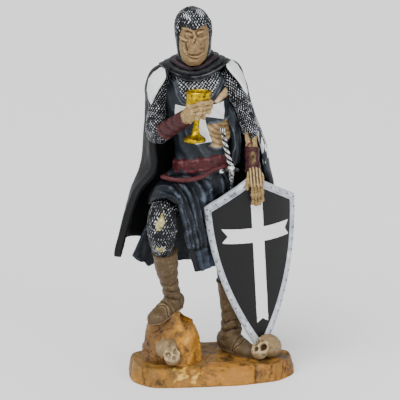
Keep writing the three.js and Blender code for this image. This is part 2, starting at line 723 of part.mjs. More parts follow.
// The outline as [across, up] pairs, drawn in by an amount and shrunk towards the heart of the face.
const shieldHeart = 0.56 * shieldLength;
function shieldOutline(inset, sideSteps = 9, topSteps = 2) {
  const side = Array.from({ length: sideSteps + 1 }, (_, i) => {
    const t = (i / sideSteps) ** 1.3;
    return [shieldHalf * (1 - (1 - t) ** 1.83), shieldCorner * t];
  });
  const top = Array.from({ length: topSteps }, (_, i) => {
    const t = (i + 1) / topSteps;
    return [shieldHalf * (1 - t), mix(shieldCorner, shieldLength, t)];
  });
  const right = [...side, ...top];
  const left = right.slice(1, -1).reverse().map(([a, b]) => [-a, b]);
  return [...right, ...left].map(([a, b]) => {
    const above = (b - shieldHeart) / (b > shieldHeart ? shieldLength - shieldHeart : shieldHeart);
    return [a * (1 - inset / shieldHalf), b - inset * (above > 0 ? 0.95 * above ** 2 : 2.1 * above)];
  });
}
function shieldSolid(grow, thicken) {
  const face = shieldThickness / 2 + thicken;
  const ringAt = (inset, out, share = 0) =>
    shieldOutline(inset).map(([a, b]) => shieldPlace(a * (1 - share), mix(b, shieldHeart, share), out));
  const rim = shieldRimWidth + grow;
  return fromRings([
    ...[0.7, 0.35].map((share) => ringAt(rim, -face, share)),
    ringAt(-grow, -face),
    ringAt(-grow, face - 0.4),
    ringAt(1.4 - grow, face + shieldRimHeight),
    ringAt(rim - 0.6, face + shieldRimHeight),
    ringAt(rim, face),
    ...[0.35, 0.7].map((share) => ringAt(rim, face, share)),
  ]);
}

// A shaded mesh of a solid.
function meshOf(name, solid, color, roughness, metalness) {
  const { vertProperties, triVerts } = solid.getMesh();
  const geometry = new THREE.BufferGeometry();
  geometry.setAttribute("position", new THREE.BufferAttribute(new Float32Array(vertProperties), 3));
  geometry.setIndex(new THREE.BufferAttribute(new Uint32Array(triVerts), 1));
  geometry.computeVertexNormals();
  const mesh = new THREE.Mesh(geometry, new THREE.MeshStandardMaterial({ color, roughness, metalness }));
  mesh.name = name;
  return mesh;
}

const skullTurn = (pitch, roll, yaw) => new THREE.Euler(pitch, roll, yaw, "ZXY");
const casting = [
  plinth(),
  rock(),
  skull([-27.6, -19.6, 9.6], 7, skullTurn(-0.1, -0.35, 0.35)),
  skull([35.4, -3, 6.2], 7.7, skullTurn(-0.15, 0.7, -0.75)),
  standingLeg(),
  raisedLeg(),
  skirtFront(),
  skirtBack(),
  body(),
  belts(),
  rightArm(),
  leftArm(),
  goblet(),
  rightHand(),
  leftHand(),
  sword(),
  cowl(),
  head(),
  cape(),
].reduce((made, piece) => made.add(piece));
const knight = casting.subtract(shieldSolid(shieldClearance, shieldClearance));

const statuette = new THREE.Group();
statuette.add(meshOf("knight_on_plinth", knight, 0x2b2c2e, 0.5, 0));
statuette.add(meshOf("shield", shieldSolid(0, 0), 0x1f1f20, 0.45, 0));
export default statuette;
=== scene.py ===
"""A painted cast-resin statuette of a skeleton knight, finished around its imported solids.

Places are in millimetres on the figure: X to the viewer's right, the front faces -Y, and Z counts up from
the plinth's top. Every surface is a closed grid of points, [along, around, 3].
"""

import bpy
import numpy as np
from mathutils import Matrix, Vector


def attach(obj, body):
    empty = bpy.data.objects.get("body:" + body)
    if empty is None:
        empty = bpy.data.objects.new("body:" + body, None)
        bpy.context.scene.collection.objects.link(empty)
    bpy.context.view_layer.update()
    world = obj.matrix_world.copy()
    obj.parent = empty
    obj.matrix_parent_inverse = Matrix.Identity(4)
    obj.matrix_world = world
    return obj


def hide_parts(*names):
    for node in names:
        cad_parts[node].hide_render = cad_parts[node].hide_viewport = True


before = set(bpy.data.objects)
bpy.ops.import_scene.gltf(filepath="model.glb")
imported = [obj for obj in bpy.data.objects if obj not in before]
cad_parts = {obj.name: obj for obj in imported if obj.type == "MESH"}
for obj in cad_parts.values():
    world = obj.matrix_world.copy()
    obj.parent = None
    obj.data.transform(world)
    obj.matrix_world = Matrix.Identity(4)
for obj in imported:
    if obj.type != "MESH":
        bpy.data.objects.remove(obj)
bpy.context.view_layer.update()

# Camera, floor and light
# The photograph's view: about a metre away and looking down by 13.7 degrees, under one broad soft light
# from the upper left, with a weak one on the right and white all round.
aim = Vector((-0.0076, 0, 0.1155))
view_distance = 1.03
view_pitch = np.radians(13.7)
sensor_width = 36
lens_in_pixels = 1617
picture_width = 400
camera = bpy.data.objects.new("camera", bpy.data.cameras.new("camera"))
camera.data.sensor_width = sensor_width
camera.data.lens = sensor_width * lens_in_pixels / picture_width
camera.location = aim + view_distance * Vector((0, -np.cos(view_pitch), np.sin(view_pitch)))
camera.rotation_euler = (np.pi / 2 - view_pitch, 0, 0)
bpy.context.scene.collection.objects.link(camera)
bpy.context.scene.camera = camera


def linear(code):
    """Linear red, green, blue and alpha of an sRGB hex colour: the sRGB curve undone, channel by channel."""
    srgb = np.array([int(code[i : i + 2], 16) for i in (1, 3, 5)]) / 255
    return (*np.where(srgb <= 0.04045, srgb / 12.92, ((srgb + 0.055) / 1.055) ** 2.4).tolist(), 1.0)


def add_node(tree, kind, inputs=None, **settings):
    """Adds a node, sets its settings, and fills each input with a value or with a link from a socket."""
    made = tree.nodes.new(kind)
    for key, value in settings.items():
        setattr(made, key, value)
    for key, value in (inputs or {}).items():
        if isinstance(value, bpy.types.NodeSocket):
            tree.links.new(value, made.inputs[key])
        else:
            made.inputs[key].default_value = value
    return made


def lamp(name, kind, place, strength, **shape):
    """A lamp at a place in metres that faces the middle of the figure."""
    made = bpy.data.objects.new(name, bpy.data.lights.new(name, kind))
    made.data.energy = strength
    for key, value in shape.items():
        setattr(made.data, key, value)
    made.location = place
    made.rotation_euler = (aim - Vector(place)).to_track_quat("-Z", "Y").to_euler()
    bpy.context.scene.collection.objects.link(made)


lamp("key_light", "SUN", (-0.45, -0.75, 1.15), 3.2, angle=0.9)
lamp("fill_light", "AREA", (0.7, -0.8, 0.5), 3.5, size=0.5)
world = bpy.data.worlds.new("white_room")
world.use_nodes = True
room = world.node_tree.nodes["Background"]
room.inputs["Color"].default_value = linear("#f4f5f7")
room.inputs["Strength"].default_value = 0.85
bpy.context.scene.world = world

floor_mesh = bpy.data.meshes.new("floor")
floor_reach = 3
floor_corners = [(floor_reach * x, floor_reach * y, 0) for x, y in ((-1, -1), (1, -1), (1, 1), (-1, 1))]
floor_mesh.from_pydata(floor_corners, [], [(0, 1, 2, 3)])
floor = bpy.data.objects.new("floor", floor_mesh)
bpy.context.scene.collection.objects.link(floor)
card = bpy.data.materials.new("white_card")
card.use_nodes = True
card_shader = card.node_tree.nodes["Principled BSDF"]
card_shader.inputs["Base Color"].default_value = linear("#fbfbfb")
card_shader.inputs["Roughness"].default_value = 0.7
floor_mesh.materials.append(card)

# Plinth
# An oval slab of rough ground, cast in polyester resin with the figure in one mould. Its front edge slopes
# and is broken into blocks, and the top shows worn flagstones, cracks and grit.
plinth_height = 11
plinth_length = 108
plinth_depth = 63
plinth_bevel = 2.2
plinth_front_slope = 7
mm = 0.001
per_metre = 1000


def grain(points, size, seed):
    """Smooth random heights from -1 to 1. Each corner of a cubic lattice, size mm apart, has a value made by
    hashing its whole-number place, and the eight round a point are blended by a smooth step."""
    place = points / size + 31.7 * seed
    cell = np.floor(place)
    share = place - cell
    share = share * share * (3 - 2 * share)
    total = 0
    for corner in np.ndindex(2, 2, 2):
        hashed = np.sin((cell + corner) @ np.array([12.9898, 78.233, 37.719]) + seed) * 43758.5453
        weight = np.prod(np.where(np.array(corner) == 1, share, 1 - share), axis=-1)
        total = total + weight * (2 * (hashed - np.floor(hashed)) - 1)
    return total


def rough(points, size, seed, layers=3):
    """Grain at a size and at each half of it, every layer half as high as the last."""
    return sum(grain(points, size / 2**k, seed + 3 * k) / 2**k for k in range(layers))


def step(low, high, value):
    """0 below low, 1 above high, and an even S curve between."""
    share = np.clip((value - low) / (high - low), 0, 1)
    return share * share * (3 - 2 * share)


def bell(value, width):
    """A bell curve: 1 where the value is 0, and about a third where it is as large as the width."""
    return np.exp(-((value / width) ** 2))


def normals(points):
    """Unit normals of a closed grid, from the differences between neighbours, turned away from each ring's
    middle."""
    along = np.gradient(points, axis=0)
    around = np.roll(points, -1, axis=1) - np.roll(points, 1, axis=1)
    out = np.cross(along, around)
    out /= np.linalg.norm(out, axis=-1, keepdims=True) + 1e-9
    away = points - points.mean(axis=1, keepdims=True)
    return out * np.sign(np.sum(out * away))


def raised(points, height):
    """The grid with each point moved out along its normal by a height in mm."""
    return points + normals(points) * np.asarray(height)[..., None]


def crest(points, reach, gain):
    """How far each point stands out from the four points about reach mm away, -1 in a hollow to 1 on an
    edge. The painter's wash collects where it is low, and the dry brush catches where it is high."""
    ahead = np.linalg.norm(np.diff(points, axis=0), axis=-1).mean() + 1e-6
    beside = np.linalg.norm(np.roll(points, -1, axis=1) - points, axis=-1).mean() + 1e-6
    rows = max(1, int(round(reach / ahead)))
    columns = max(1, int(round(reach / beside)))
    padded = np.concatenate([points[:1].repeat(rows, 0), points, points[-1:].repeat(rows, 0)])
    near = padded[2 * rows :] + padded[: -2 * rows]
    near = near + np.roll(points, columns, axis=1) + np.roll(points, -columns, axis=1)
    stand = np.sum((points - near / 4) * normals(points), axis=-1)
    return np.clip(gain * stand / reach, -1, 1)


def skin(name, grids, material, node="knight_on_plinth", crease=60):
    """Makes one piece from closed grids and fastens it to the frame. Rows and rings become quads, the first
    and last ring are closed by strips between opposite points, and a grid with a negative volume is turned
    round. Each grid is a dict of points and of point values, which become attributes."""
    places, faces, start = [], [], 0
    for grid in grids:
        rings, sides = grid["points"].shape[:2]
        ring, j = np.meshgrid(np.arange(rings - 1) * sides, np.arange(sides), indexing="ij")
        beside = (j + 1) % sides
        walls = np.stack([ring + j, ring + beside, ring + sides + beside, ring + sides + j], -1)
        k = np.arange(sides // 2 - 1)
        end = np.stack([k + 1, k, sides - 1 - k, sides - 2 - k], -1)
        quads = np.concatenate([walls.reshape(-1, 4), end, end[:, ::-1] + (rings - 1) * sides])
        flat = grid["points"].reshape(-1, 3)
        a, b, c, d = (flat[quads[:, n]] for n in range(4))
        volume = np.sum(np.cross(a, b) * c) + np.sum(np.cross(a, c) * d)
        faces.append((quads if volume > 0 else quads[:, ::-1]) + start)
        places.append(flat)
        start += rings * sides
    places = (np.concatenate(places) + [0, 0, plinth_height]) * mm
    faces = np.concatenate(faces)
    mesh = bpy.data.meshes.new(name)
    mesh.vertices.add(len(places))
    mesh.vertices.foreach_set("co", places.astype(np.float32).ravel())
    mesh.loops.add(faces.size)
    mesh.loops.foreach_set("vertex_index", faces.astype(np.int32).ravel())
    mesh.polygons.add(len(faces))
    mesh.polygons.foreach_set("loop_start", np.arange(0, faces.size, 4, dtype=np.int32))
    mesh.update(calc_edges=True)
    mesh.shade_smooth()
    mesh.set_sharp_from_angle(angle=np.radians(crease))
    for layer in sorted({key for grid in grids for key in grid} - {"points"}):
        missing = 0.0 if layer == "relief" else -9.0
        values = [np.broadcast_to(g.get(layer, missing), g["points"].shape[:2]).ravel() for g in grids]
        attribute = mesh.attributes.new(layer, "FLOAT", "POINT")
        attribute.data.foreach_set("value", np.concatenate(values).astype(np.float32))
    mesh.materials.append(material)
    piece = bpy.data.objects.new(name, mesh)
    bpy.context.scene.collection.objects.link(piece)
    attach(piece, "root")
    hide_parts(node)


def painted(name, coats, grit, uneven, gloss=(0.42, 0.62), bump=0.08):
    """Acrylic paint on cast resin, as a miniature is painted. A coat is (mask, hollow, body, edge, metal):
    the body colour is darkened in hollows by a wash and lightened on edges by a dry brush, both led by the
    relief attribute, and a mask attribute holds the distance inside the coat's outline in mm. Brush marks
    are grit mm apart, and the colour is uneven over areas uneven mm wide. It dries to a satin sheen."""
    made = bpy.data.materials.new(name)
    made.use_nodes = True
    tree = made.node_tree
    shader = tree.nodes["Principled BSDF"]
    place = add_node(tree, "ShaderNodeTexCoord").outputs["Object"]
    patchy = {"Vector": place, "Scale": per_metre / uneven, "Detail": 3.0, "Roughness": 0.6}
    patches = add_node(tree, "ShaderNodeTexNoise", patchy).outputs["Fac"]
    bristles = {"Vector": place, "Scale": per_metre / grit, "Detail": 2.0}
    marks = add_node(tree, "ShaderNodeTexNoise", bristles).outputs["Fac"]
    # The relief, which on the skirt and hood also holds painted highlights and on the goblet painted shade,
    # shifted a little by the brush marks and the patches.
    level = add_node(tree, "ShaderNodeAttribute", attribute_name="relief").outputs["Fac"]
    for noise, share in ((marks, 0.7), (patches, 0.9)):
        shift = {0: noise, 1: share, 2: level}
        level = add_node(tree, "ShaderNodeMath", shift, operation="MULTIPLY_ADD").outputs[0]
    level = add_node(tree, "ShaderNodeMath", {0: level, 1: 0.8}, operation="SUBTRACT").outputs[0]
    for mask, hollow, body, edge, metallic in coats:
        # From the wash to the body colour, and from that to the dry brush.
        coat = linear(hollow)
        for low, high, paint in ((-0.55, 0.0, body), (0.1, 0.75, edge)):
            rise = {"Value": level, "From Min": low, "From Max": high}
            share = add_node(tree, "ShaderNodeMapRange", rise, interpolation_type="SMOOTHSTEP").outputs[0]
            blend = {0: share, 6: coat, 7: linear(paint)}
            coat = add_node(tree, "ShaderNodeMix", blend, data_type="RGBA").outputs[2]
        if mask is None:
            colour, metal = coat, metallic
            continue
        rise = {"From Min": 0.01, "From Max": 0.22}
        rise["Value"] = add_node(tree, "ShaderNodeAttribute", attribute_name=mask).outputs["Fac"]
        cover = add_node(tree, "ShaderNodeMapRange", rise, interpolation_type="SMOOTHSTEP").outputs[0]
        blend = {0: cover, 6: colour, 7: coat}
        colour = add_node(tree, "ShaderNodeMix", blend, data_type="RGBA").outputs[2]
        if metallic != metal:
            blend = {0: cover, 2: metal, 3: metallic}
            metal = add_node(tree, "ShaderNodeMix", blend, data_type="FLOAT").outputs[0]
    tree.links.new(colour, shader.inputs["Base Color"])
    if isinstance(metal, float):
        shader.inputs["Metallic"].default_value = metal
    else:
        tree.links.new(metal, shader.inputs["Metallic"])
    satin = {"Value": patches, "From Min": 0.3, "From Max": 0.7, "To Min": gloss[0], "To Max": gloss[1]}
    tree.links.new(add_node(tree, "ShaderNodeMapRange", satin).outputs[0], shader.inputs["Roughness"])
    shader.inputs["IOR"].default_value = 1.49
    shader.inputs["Specular IOR Level"].default_value = 0.22
    lumps = {"Height": marks, "Strength": bump, "Distance": grit * mm}
    tree.links.new(add_node(tree, "ShaderNodeBump", lumps).outputs[0], shader.inputs["Normal"])
    return made


plinth_sides = 280
side_rings = 22
top_rings = 48
turn = np.linspace(0, 2 * np.pi, plinth_sides, endpoint=False)


def plinth_outline(inset, slope):
    """X and Y round the plinth: an ellipse drawn in by an inset, which wavers with the angle, and set back by
    a slope where it faces the front. The left of the front stands forward, and the right stands back."""
    facing = np.maximum(0, np.cos(turn)) ** 1.5
    waver = 0.7 * np.sin(7 * turn + 1.26) + 0.5 * np.sin(12 * turn + 3.77)
    drawn_in = inset - waver * (1.0 if inset > 0 else 0.4)
    x = (plinth_length / 2 - drawn_in) * np.sin(turn)
    y = -(plinth_depth / 2 - drawn_in - slope * facing) * np.cos(turn)
    shift = 0.36 * np.minimum(0, x + 14) + 3.4 * step(-18, -2, x)
    return np.stack([x, y + shift * np.sqrt(np.maximum(0, np.cos(turn)))], -1)


# The side rises ring by ring with the same wavers as the solid's, and the top's rings run in to its middle.
side_levels = np.linspace(0, 1, side_rings)
insets = np.interp(side_levels, [0, 0.55, 1], [0, 0.45 * plinth_bevel, plinth_bevel])
slopes = np.interp(side_levels, [0, 0.55, 1], [0, 0.3 * plinth_front_slope, plinth_front_slope])
side = np.stack([plinth_outline(a, b) for a, b in zip(insets, slopes)])
outlines = np.concatenate([side, side[-1] * np.linspace(0.985, 0.02, top_rings)[:, None, None]])
heights = np.concatenate([side_levels - 1, np.zeros(top_rings)]) * plinth_height
heights = np.broadcast_to(heights[:, None, None], (side_rings + top_rings, plinth_sides, 1))
ground = np.concatenate([outlines, heights], -1)


def off_stretch(place, a, b):
    """Distance of each flat place from the straight stretch between a and b."""
    share = np.clip(((place - a) @ (b - a)) / ((b - a) @ (b - a)), 0, 1)
    return np.linalg.norm(place - a - share[..., None] * (b - a), axis=-1)


def line(place, path, width):
    """1 on a line through the path's flat places, falling off as a bell curve of the width in mm."""
    path = np.array(path, float)
    return bell(np.minimum.reduce([off_stretch(place, a, b) for a, b in zip(path[:-1], path[1:])]), width)


# The cracks between the stones, each with its half width and its path in X and Y.
crack_lines = [
    (0.7, [(27.4, -27), (28.4, -17), (27, -10)]),
    (0.6, [(37, -26), (38, -16), (45, -8)]),
    (0.5, [(-1, -15), (10, -13.5), (26, -13)]),
    (0.9, [(-52, -4), (-47, -14), (-44, -26)]),
    (0.9, [(-47, 6), (-45, -6), (-38, -14), (-24, -19)]),
    (0.4, [(-8, -27), (-6, -13), (-1, 4), (4, 24)]),
    (0.5, [(44, -22), (46, -12)]),
    (0.5, [(14, 28), (30, 18), (46, 12)]),
]
wander = ground[..., :2] + np.stack([grain(ground, 5, 1), grain(ground, 5, 2)], -1)
cracks = np.maximum.reduce([line(wander, path, width) for width, path in crack_lines])
x, y, z = np.moveaxis(ground, -1, 0)
on_side = step(-0.4, -1.2, z)
relief = 0.7 * rough(ground, 10, 4) + 0.2 * rough(ground, 3, 5) - 0.65 * cracks
flagstone = step(-4, 0, x) * step(28, 26, x) * step(-11, -14, y)
relief = (relief + 0.5 * flagstone) * (0.55 + 0.6 * on_side)
relief += 0.45 * bell(x + 14, 12) * bell(y + 24, 7) * np.abs(grain(ground, 2.4, 12))
relief *= step(-plinth_height, -plinth_height + 1.2, z)
ground = raised(ground, relief - 0.35 * (1 - on_side))
x, y, z = np.moveaxis(ground, -1, 0)
speckle = grain(ground, 1.6, 7) + 0.6 * grain(ground, 3.2, 8)
patch = np.maximum(1 - np.hypot((x + 15) / 15, (y + 25) / 6), 1 - np.hypot((x + 9) / 5, (y + 25) / 3))
yellow = 0.1 + 0.12 * (1.5 * speckle + 1.5 * patch - 1.3)
stain = 0.9 * rough(ground, 6, 9) + 0.008 * (x + 10) + 0.8 * on_side + 0.8 * flagstone
ochre = 0.1 + 0.12 * (stain - 0.6)
ground_paint = painted(
    "ochre_wash_on_cast_resin",
    [
        (None, "#33240e", "#775625", "#a67c3c", 0.0),
        ("ochre", "#593b17", "#9a6828", "#c08f47", 0.0),
        ("yellow", "#a8771e", "#d8ac46", "#eed392", 0.0),
    ],
    grit=1.2,
    uneven=9,
    bump=0.3,
)
relief = crest(ground, 1.5, 1) + 0.2 * rough(ground, 2.4, 6) + 0.3 * rough(ground, 9, 14, 2) - 0.1
skin("plinth_ground", [{"points": ground, "relief": relief, "yellow": yellow, "ochre": ochre}], ground_paint)

# Rock
# The boulder under the raised foot, cast with the plinth. Its broken faces are stained orange and washed
# with dark brown.
rock_stations = [
    (-25, -4, -2, 19.7, 15),
    (-25.4, -4, 4, 19, 14.4),
    (-26.6, -4.3, 12, 18, 13.6),
    (-27.8, -5, 20, 15.8, 12.8),
    (-26.8, -5, 28.6, 13.6, 11.8),
    (-24.4, -4, 32, 6.5, 6.5),
    (-24.4, -4, 32.2, 0.4, 0.4),
]


def curve(stations, t):
    """Places on the smooth curve through the stations, evenly spaced from 0 to 1. Each stretch is the cubic
    that passes its two ends with the slope between their neighbours."""
    stations = np.asarray(stations, float)
    last = len(stations) - 1
    way = np.clip(t, 0, 1) * last
    i = np.minimum(way.astype(int), last - 1)
    f = (way - i).reshape(way.shape + (1,) * (stations.ndim - 1))
    a, b, c, d = (stations[np.clip(i + k, 0, last)] for k in (-1, 0, 1, 2))
    return b + 0.5 * f * (c - a + f * (2 * a - 5 * b + 4 * c - d + f * (3 * (b - c) + d - a)))


def over(rings, sides):
    """The grid's two parameters: the share of the way along, 0 to 1, and the angle round, from the front."""
    around = np.linspace(0, 2 * np.pi, sides, endpoint=False)
    return np.meshgrid(np.linspace(0, 1, rings), around, indexing="ij")


def limb(stations, rings, sides, swell=None, side=(1, 0, 0), flat=1.0):
    """A section carried along a path. A station is (x, y, z, half width, half depth), and the stations may
    be a function of the share of the way. The section is an ellipse across the path with its width along
    side. It is swollen by swell(t, angle), and flat cuts its underside off at that share of its depth."""

    def station(t):
        """The station at each share of the way, from the function or from the smooth curve."""
        return stations(np.clip(t, 0, 1)) if callable(stations) else curve(stations, t)

    t, angle = over(rings, sides)
    at = station(t[:, 0])
    along = (station(t[:, 0] + 0.01) - station(t[:, 0] - 0.01))[:, :3]
    along /= np.linalg.norm(along, axis=-1, keepdims=True)
    through = np.cross(side, along)
    through /= np.linalg.norm(through, axis=-1, keepdims=True)
    across = np.cross(along, through)
    size = 1 if swell is None else 1 + swell(t, angle)
    wide = at[:, 3, None] * size * np.sin(angle)
    deep = at[:, 4, None] * np.maximum(size * np.cos(angle), -flat)
    return at[:, None, :3] + across[:, None] * wide[..., None] + through[:, None] * deep[..., None]


def rock_bulges(t, angle):
    """Two waves round the boulder, each turning as it rises."""
    return 0.05 * np.sin(3 * angle + 6 * t) + 0.045 * np.sin(5 * angle - 11 * t + 1)


boulder = limb(rock_stations, 90, 132, rock_bulges)
slope = np.clip(boulder[..., 2] / 25, 0, 1)
boulder[..., 2] += slope * (0.16 * (boulder[..., 0] + 26) + 0.13 * (boulder[..., 1] + 6))
relief = 1.3 * rough(boulder, 9, 10, 2) - 0.55 * bell(rough(boulder, 7, 11), 0.12)
boulder = raised(boulder, relief + 0.26 * rough(boulder, 3, 12))
rock_paint = painted(
    "orange_stain_on_cast_resin",
    [
        (None, "#38210c", "#6e4e29", "#9a7642", 0.0),
        ("bright", "#6b4a16", "#b27a2a", "#dcae5c", 0.0),
    ],
    grit=0.9,
    uneven=8,
    bump=0.3,
)
bright = 0.9 * rough(boulder, 5, 13) + 0.07 * (boulder[..., 0] + 22)
relief = crest(boulder, 1.5, 1) + 0.2 * rough(boulder, 2.2, 14) + 0.26 * rough(boulder, 8, 16, 2) - 0.06
skin("rock", [{"points": boulder, "relief": relief, "bright": 0.11 + 0.13 * bright}], rock_paint)

# Skulls
# Two skulls cast with the ground, one leaning on the rock and one lying on its side by the shield, painted
# bone and washed with umber.


def egg(direction, middle, half):
    """Distance from the origin, along each direction, to the far side of an ellipsoid, or 0 where it
    misses."""
    d, m = direction / half, np.asarray(middle) / half
    a, b, c = np.sum(d * d, -1), np.sum(d * m, -1), np.sum(m * m) - 1
    inside = b * b - a * c
    return np.where(inside > 0, (b + np.sqrt(np.maximum(inside, 0))) / a, 0)


def turned(points, pitch, roll, yaw):
    """Points turned about Y by roll, then about X by pitch, then about Z by yaw, in radians."""
    (a, b, c), (d, e, f) = np.cos([pitch, roll, yaw]), np.sin([pitch, roll, yaw])
    about_y = np.array([[b, 0, e], [0, 1, 0], [-e, 0, b]])
    about_x = np.array([[1, 0, 0], [0, a, -d], [0, d, a]])
    about_z = np.array([[c, -f, 0], [f, c, 0], [0, 0, 1]])
    return points @ (about_z @ about_x @ about_y).T


def rays(rings, sides):
    """Directions ring by ring from straight up to straight down, each ring starting at the front."""
    t, angle = over(rings, sides)
    tilt = np.pi * (0.01 + 0.98 * t)
    return np.stack([np.sin(tilt) * np.sin(angle), -np.sin(tilt) * np.cos(angle), np.cos(tilt)], -1)


def skull(middle, half, pitch, roll, yaw, seed, wash):
    """A skull as a distance from its middle in every direction: the brain case and the jaw are two
    ellipsoids, joined softly, and each socket, cheek hollow, cheekbone and tooth is a bell-shaped dent or
    bump round its own direction. The painter's wash in the sockets and the nose is as dark as wash."""
    ray = rays(84, 108)
    case = egg(ray, (0, 0.25, 0.25), (1, 1.22, 1))
    jaw = egg(ray, (0, -0.56, -0.46), (0.78, 0.6, 0.74))
    joint = 14
    reach = np.logaddexp(joint * case, joint * jaw) / joint

    def spot(x, y, z, width):
        """A bell curve of how far each direction is from one direction."""
        place = np.array([x, y, z]) / np.linalg.norm([x, y, z])
        return np.exp(-np.sum((ray - place) ** 2, -1) / width**2)

    nostril = step(0.3, 0.7, spot(0, -1, -0.4, 0.2))
    dark = nostril
    for s in (-1, 1):
        socket = step(0.25, 0.75, spot(0.46 * s, -1, 0.0, 0.34))
        reach = reach - (0.26 + 0.16 * wash) * socket
        dark = np.maximum(dark, socket)
        reach = reach + 0.1 * spot(0.46 * s, -1, 0.42, 0.24) + 0.1 * spot(0.8 * s, -0.85, -0.32, 0.18)
        reach = reach - 0.14 * spot(0.75 * s, -0.75, -0.62, 0.2) - 0.06 * spot(0.9 * s, -0.5, 0.2, 0.3)
    reach = reach - (0.14 + 0.1 * wash) * nostril + 0.06 * spot(0, -1, -0.08, 0.12)
    level = ray[..., 2] / -ray[..., 1].clip(-1, -0.1)
    teeth = step(0.5, 0.6, -level) * step(0.92, 0.82, -level) * step(0.62, 0.45, np.abs(ray[..., 0]))
    teeth = teeth * (ray[..., 1] < 0)
    gaps = np.abs(np.sin(19 * ray[..., 0])) ** 0.5
    reach = reach + teeth * (0.035 * gaps - 0.05 * bell(level + 0.71, 0.025))
    points = turned(ray * reach[..., None] * half, pitch, roll, yaw) + middle
    relief = crest(points, 0.9, 1.6) + 0.3 * rough(points, 2, seed) - (1.4 * wash - 0.5) * dark
    return {"points": points, "relief": relief}


bone_paint = painted(
    "umber_washed_bone_paint",
    [(None, "#38281a", "#7d6849", "#ab9674", 0.0)],
    grit=0.5,
    uneven=5,
    bump=0.15,
)
skin("skull_on_rock", [skull((-27.6, -19.6, 9.6), 7, -0.1, -0.35, 0.35, 15, 0.05)], bone_paint)
skin("skull_by_shield", [skull((35.2, -3, 6.6), 7.7, -0.5, 0.25, -0.72, 17, 1.1)], bone_paint)

# Boots
# Soft leather boots with a low heel, carved with slack wrinkles at the ankle, and painted brown with a
# lighter dry brush.
standing_foot = [
    (6.4, 17.6, 2.4, 3, 4),
    (8.6, 15.4, 4.6, 5.2, 8),
    (13, 11.4, 5.4, 6, 9.4),
    (17.6, 7, 4.2, 6.4, 7.4),
    (21.6, 3, 3.1, 6.6, 5.6),
    (25.8, -1.2, 2.3, 5.2, 4.4),
    (28.2, -3.7, 1.6, 1.7, 2),
]
standing_shaft = [
    (12.2, 13, 4, 6.8, 7),
    (13, 13, 14, 6.8, 7),
    (13, 13, 24, 6.6, 7),
    (12.2, 12.6, 36, 7.2, 7.4),
    (11.6, 12, 48.5, 8.2, 8.2),
]
raised_foot = [
    (-20.2, 0.9, 36, 2.8, 4),
    (-21.8, -1.2, 37, 4.8, 6.6),
    (-24.8, -4.6, 37.2, 5.5, 7.8),
    (-29.4, -10, 35, 5.9, 6.4),
    (-33.6, -15, 32.6, 6.3, 5),
    (-37.2, -19.2, 30.8, 5.2, 4.2),
    (-39.4, -21.8, 29.6, 1.8, 2),
]
raised_shaft = [
    (-24.9, -4.4, 37, 5.8, 6),
    (-25.6, -8, 44, 5.6, 6),
    (-26.5, -12, 50.5, 5.3, 5.8),
    (-27.6, -16.2, 58, 6, 6.4),
    (-28.6, -20.4, 66, 7.3, 7.3),
    (-29.3, -23.4, 74, 7.6, 7.6),
    (-29.7, -24.2, 77.5, 7.8, 7.8),
]


def dry_brushed(grid, reach, gain, wash=0.0):
    """A grid painted by its own crest, under an even wash."""
    return {"points": grid, "relief": crest(grid, reach, gain) - wash}


def boot(foot, shaft, side, seed):
    """A foot swept from heel to toe, with a welt line along its sole, and a shaft with wrinkles. A wrinkle is
    a ridge where a wavering level passes each whole number, deepest round the ankle."""
    upper = limb(foot, 76, 76, side=side, flat=0.62)
    t, angle = over(*upper.shape[:2])
    welt = bell(np.cos(angle) + 0.45, 0.1)
    creases = bell(t - 0.6 - 0.03 * np.sin(3 * angle), 0.012) + bell(t - 0.52, 0.015)
    creases = creases * (np.cos(angle) > -0.4)
    upper = raised(upper, 0.45 * welt - 0.45 * creases + 0.12 * rough(upper, 2.5, seed))
    leg = limb(shaft, 104, 70)
    t, angle = over(*leg.shape[:2])
    waver = 0.22 * np.sin(angle + seed) + 0.15 * np.sin(2 * angle + 4 * t + seed)
    waver = waver + 0.25 * rough(leg, 9, seed, 1)
    folds = np.abs(np.sin(np.pi * (6.5 * t + waver))) ** 0.8
    slack = bell(t - 0.3, 0.3) + 0.25
    cuff = step(0.95, 0.965, t)
    leg = raised(leg, 0.95 * (folds - 0.6) * slack + 0.15 * rough(leg, 2, seed + 1) + 0.5 * cuff)
    return [dry_brushed(grid, 1.1, 2.6) for grid in (upper, leg)]


boot_paint = painted(
    "brown_dry_brushed_boot_paint",
    [(None, "#20170d", "#4d3d28", "#7c694c", 0.0)],
    grit=0.6,
    uneven=6,
    bump=0.15,
)
skin("standing_boot", boot(standing_foot, standing_shaft, (-0.7, -0.71, 0), 21), boot_paint)
skin("raised_boot", boot(raised_foot, raised_shaft, (-0.75, 0.65, 0), 24), boot_paint)

# Mail leggings
# The thighs in woven mail, carved ring by ring, painted black and dry-brushed with silver. The raised one is
# torn over the knee and on the shin, where bone shows.
standing_thigh = [
    (11.4, 11.5, 46, 7, 7),
    (10.5, 9.5, 64, 8.4, 8.4),
    (6, 7, 86, 10.5, 10),
    (0, 5, 106, 11.5, 11.5),
]
raised_thigh = [
    (-30, -23.4, 73, 5.4, 5.4),
    (-31.2, -26, 82, 7, 7.6),
    (-31.2, -27, 91, 9, 9.2),
    (-30.6, -24.4, 99, 9, 9.2),
    (-28, -18, 104, 9.8, 9.6),
    (-22, -7, 108, 10.8, 10.4),
    (-14, 4, 111, 11.5, 11.5),
]
ring_pitch = 1.7
row_pitch = 0.74 * ring_pitch
ring_waver = 0.4
ring_depth = 0.45
mail_brush = 2.3
mail_wash = 1.25
knee_hole = [(-32.6, 103.6), (-29.4, 104.4), (-29.2, 99), (-31.4, 94.4), (-35, 92.4), (-35.4, 96.6)]
shin_hole = [(-35.4, 83.6), (-32.4, 82.6), (-28.8, 83), (-29.2, 80.4), (-31.8, 78.4), (-34.6, 80)]


